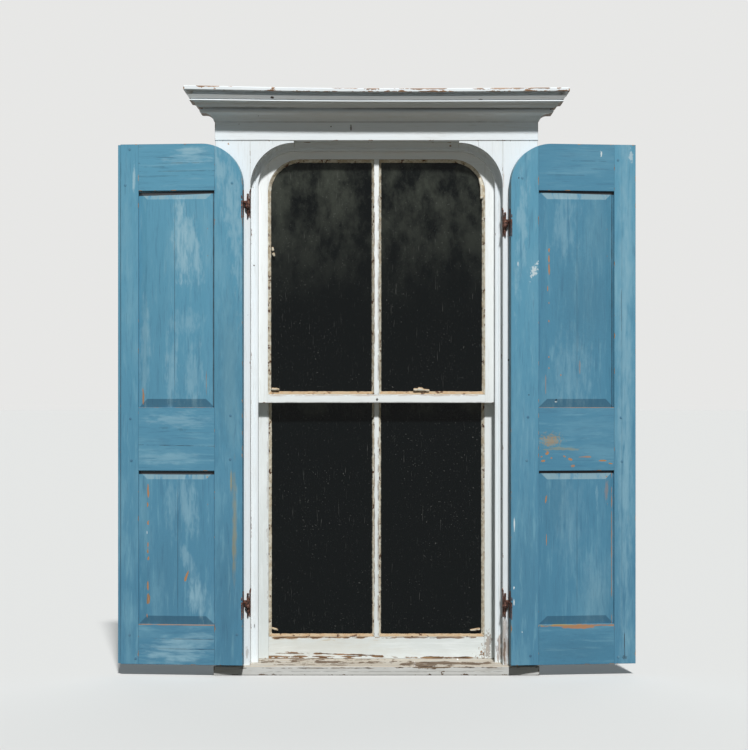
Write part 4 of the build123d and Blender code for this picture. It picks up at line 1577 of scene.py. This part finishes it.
RIGHT_PEGS = ((522.4, 178), (528, 417), (526.8, 460.3), (621, 417.6), (622, 461.4), (530.5, 656),
              (618.3, 657), (618, 160))
FRAME_MARKS: Marks = {
    "crown_cap": marks(
        bare=[(346, 87.4, 15, 1.1, 1, 0.9, 1), (372, 88.2, 6, 1.6, 0, 0.9, 1),
              (424, 88.4, 22, 1.2, 0, 0.9, 1.2), (500, 88.2, 18, 1.3, 0, 0.9, 1.2),
              (268, 85.6, 8, 0.8, 1, 0.8, 1.2), (538, 88, 14, 1.2, 0, 0.9, 1.2)],
        # painted shade along the underside of the cap's edge
        dark=[(376, 94.4, 190, 0.6, 0.3, 0.35, 0.6, 0.6)]
    ),
    "frieze_board": marks(
        dark=[(376, 122, 162, 0.6, 0, 0.35, 0.3, 0.5), (351, 127.8, 0.75, 3, 0, 1, 0.4, 0.1),
              (331, 126.6, 0.5, 0.5), (239, 124, 0.5, 0.5), (245, 139.8, 28, 0.25, 0, 0.35),
              (507, 140.2, 30, 0.25, 0, 0.35)]
    ),
    "crown_moulding": marks(
        dark=[(272, 97.4, 1.5, 0.9, 0, 1, 0.8, 0.2, 0.1), (481, 99, 2.5, 0.5, 0, 0.6, 0.8, 0.2, 0.1),
              (257, 113, 0.4, 0.5, 0, 1, 0.8, 0.2, 0.1), (396, 117, 0.4, 0.5, 0, 1, 0.8, 0.2, 0.1),
              # the two long dark lines are painted shade in the moulding's recess
              (262, 107.7, 66, 0.7, 0.4, 0.6, 0.2, 0.5, 0.014, 0.045),
              (430, 108.6, 112, 0.7, 0.1, 0.6, 0.2, 0.5, 0.014, 0.045)]
    ),
    "left_corner_block": marks(
        orange=[(229, 143.7, 1.1, 1.4, 0, 0.7), (225, 148.4, 0.7, 1.2, 0, 0.6),
                (243, 160, 2.6, 0.6, -10, 0.4)],
        dark=[(272.8, 143.2, 0.25, 3.4, 0, 0.4)]
    ),
    "right_corner_block": marks(
        dark=[(478.5, 144.2, 0.25, 3.4, 0, 0.4), (510, 168, 0.5, 0.5)],
        orange=[(503.6, 164, 0.35, 24, 0, 0.8, 0.4)]
    ),
    "right_casing": marks(
        dark=[(508.4, 360, 0.6, 0.7), (504.4, 652, 0.9, 11, 0, 0.8, 1.2)],
        orange=[(503.8, 180, 0.3, 9, 0, 0.7)],
        bare=[(505, 646, 4, 20, 0, 0.55, 1.1, 0.35)]
    ),
    "left_outer_stop": marks(dark=[(254, 265.4, 0.6, 0.7), (254.4, 626, 0.5, 2.4, 0, 0.8)]),
    "left_casing": marks(
        dark=[(247.8, 315, 0.5, 0.6)],
        orange=[(228.5, 143.8, 0.9, 1.3, 0, 0.9)],
        bare=[(247, 655, 1.5, 7, 0, 0.4, 1.2)]
    ),
    "right_outer_stop": marks(
        bare=[(499, 648, 2.5, 15, 0, 0.6, 1.1, 0.35)],
        dark=[(492.4, 652, 1, 12, 0, 0.8, 1)]
    ),
    "head_outer_stop": marks(
        bare=[(450.7, 146, 1.5, 0.8)],
        dark=[(473.7, 142.5, 0.5, 0.5)]
    ),
    "sill": marks(
        bare=[(452, 664.2, 56, 3, 0, 1, 1, 0.15, 0.022, 0.042),
              (424, 665.8, 27, 3, 0, 1, 0.9, 0.15, 0.024, 0.024), (430, 667.4, 34, 0.8, 0, 1, 1.4),
              (318, 662.3, 62, 3, 0, 1, 2.2, 0.15, 0.01, 0.064),
              (345, 663.6, 42, 3, 0, 0.9, 2.2, 0.15, 0.006, 0.047),
              (300, 660, 50, 3, 0, 0.9, 2.2, 0.15, 0.007, 0.092),
              (300, 665.9, 40, 3, 0, 0.8, 2.4, 0.2, 0.006, 0.02), (470, 667.4, 40, 0.5, 0, 0.8, 2),
              (320, 668.2, 50, 0.4, 0, 0.7, 2.4)],
        pale=[(415, 665.5, 0.9, 0.7, 0, 1, 0.8, 0.2, 0.2), (459, 663.7, 0.8, 0.6, 0, 1, 0.8, 0.2, 0.2)],
        dark=[(436, 662.8, 16, 2.5, 0, 0.7, 1.4, 0.3, 0.006, 0.06), (380, 671.5, 90, 0.3, 0, 0.3, 2)]
    ),
}
UPPER_MARKS: Marks = {
    "meeting_rail": marks(
        dark=[(376.8, 399.5, 1.2, 1.2), (376, 402.2, 112, 0.35, 0, 0.5)],
        orange=[(376, 395.6, 110, 0.4, 0, 0.5, 1.4)]
    ),
    "muntin": marks(bare=[(374.2, 270, 0.45, 100, 0, 0.7, 1.6), (378.2, 290, 0.4, 100, 0, 0.6, 1.6)]),
}
LOWER_MARKS: Marks = {
    "bottom_rail": marks(
        ochre=[(305, 648, 66, 12, 0, 0.16, 0.8, 0.9), (310, 637, 60, 2.4, 0, 0.5, 1.2, 0.5)],
        bare=[(326, 637.4, 56, 1.1, 0, 1, 1.6, 0.15), (424, 637.6, 56, 0.7, 0, 0.9, 1.8),
              (290, 653.4, 26, 0.35, 1, 0.9, 2, 0.15), (344, 654.4, 40, 0.5, 2, 1, 1.8, 0.15),
              (318, 656.6, 58, 0.5, 0, 1, 2, 0.15), (440, 657.6, 52, 0.9, 0, 1, 1.2, 0.15),
              (300, 658.4, 52, 0.7, 0, 1, 1.8, 0.15), (487, 654, 6.5, 6, 0, 0.85, 1.6, 0.15)],
        orange=[(487, 651, 4.5, 4, 0, 0.8, 1.6, 0.3)],
        dark=[(470, 657.6, 34, 0.4, 0, 0.6, 1.6)]
    ),
    "muntin": marks(bare=[(374.2, 510, 0.5, 110, 0, 0.7, 1.6), (378.2, 530, 0.45, 100, 0, 0.7, 1.6)]),
    "right_stile": marks(
        bare=[(488, 645, 3, 12, 0, 0.6, 1.2)],
        orange=[(484, 500, 0.5, 60, 0, 0.4, 3)]
    ),
    "left_stile": marks(bare=[(267.4, 470, 0.4, 60, 0, 0.3, 3)]),
}
UPPER_LUMPS = ((413.5, 389.6, 429.5, 390.4, 1.5, 1.2), (418, 388.8, 423, 389.2, 1.7, 1.4),
               (271.5, 389, 279.5, 389.5, 1.7, 1.2), (272.4, 247, 273, 251, 1.1, 1.4),
               (273, 253, 274.6, 256.5, 1.5, 1), (481.6, 186, 481.4, 199, 1.7, 1.3),
               (479.5, 178, 481.5, 187, 1.2, 1.6))
LOWER_LUMPS = ((272, 628, 278, 630, 1.4, 1), (470, 630, 480, 629, 1, 1.5))
HINGES = (
    Hinge(Side.LEFT, "upper", height=1.434), Hinge(Side.LEFT, "lower", height=0.217),
    Hinge(Side.RIGHT, "upper", height=1.377), Hinge(Side.RIGHT, "lower", height=0.217),
)


def main() -> None:
    """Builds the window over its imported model, piece by piece."""
    logging.basicConfig(level=logging.INFO, format="%(message)s")
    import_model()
    Studio().build()
    Frame(FRAME_MARKS).build()
    Sash("upper", "top_rail", seed=1.7, film_from=0.3, putty_depth=0.029, lumps=UPPER_LUMPS,
         marks=UPPER_MARKS).build()
    Sash("lower", "bottom_rail", seed=5.2, film_from=0.9, putty_depth=0.067, lumps=LOWER_LUMPS,
         marks=LOWER_MARKS).build()
    SashLock().build()
    Shutter(Side.LEFT, LEFT_MARKS, LEFT_PEGS).build()
    Shutter(Side.RIGHT, RIGHT_MARKS, RIGHT_PEGS).build()
    for hinge in HINGES:
        hinge.build()
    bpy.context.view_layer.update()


if __name__ == "__main__":
    main()
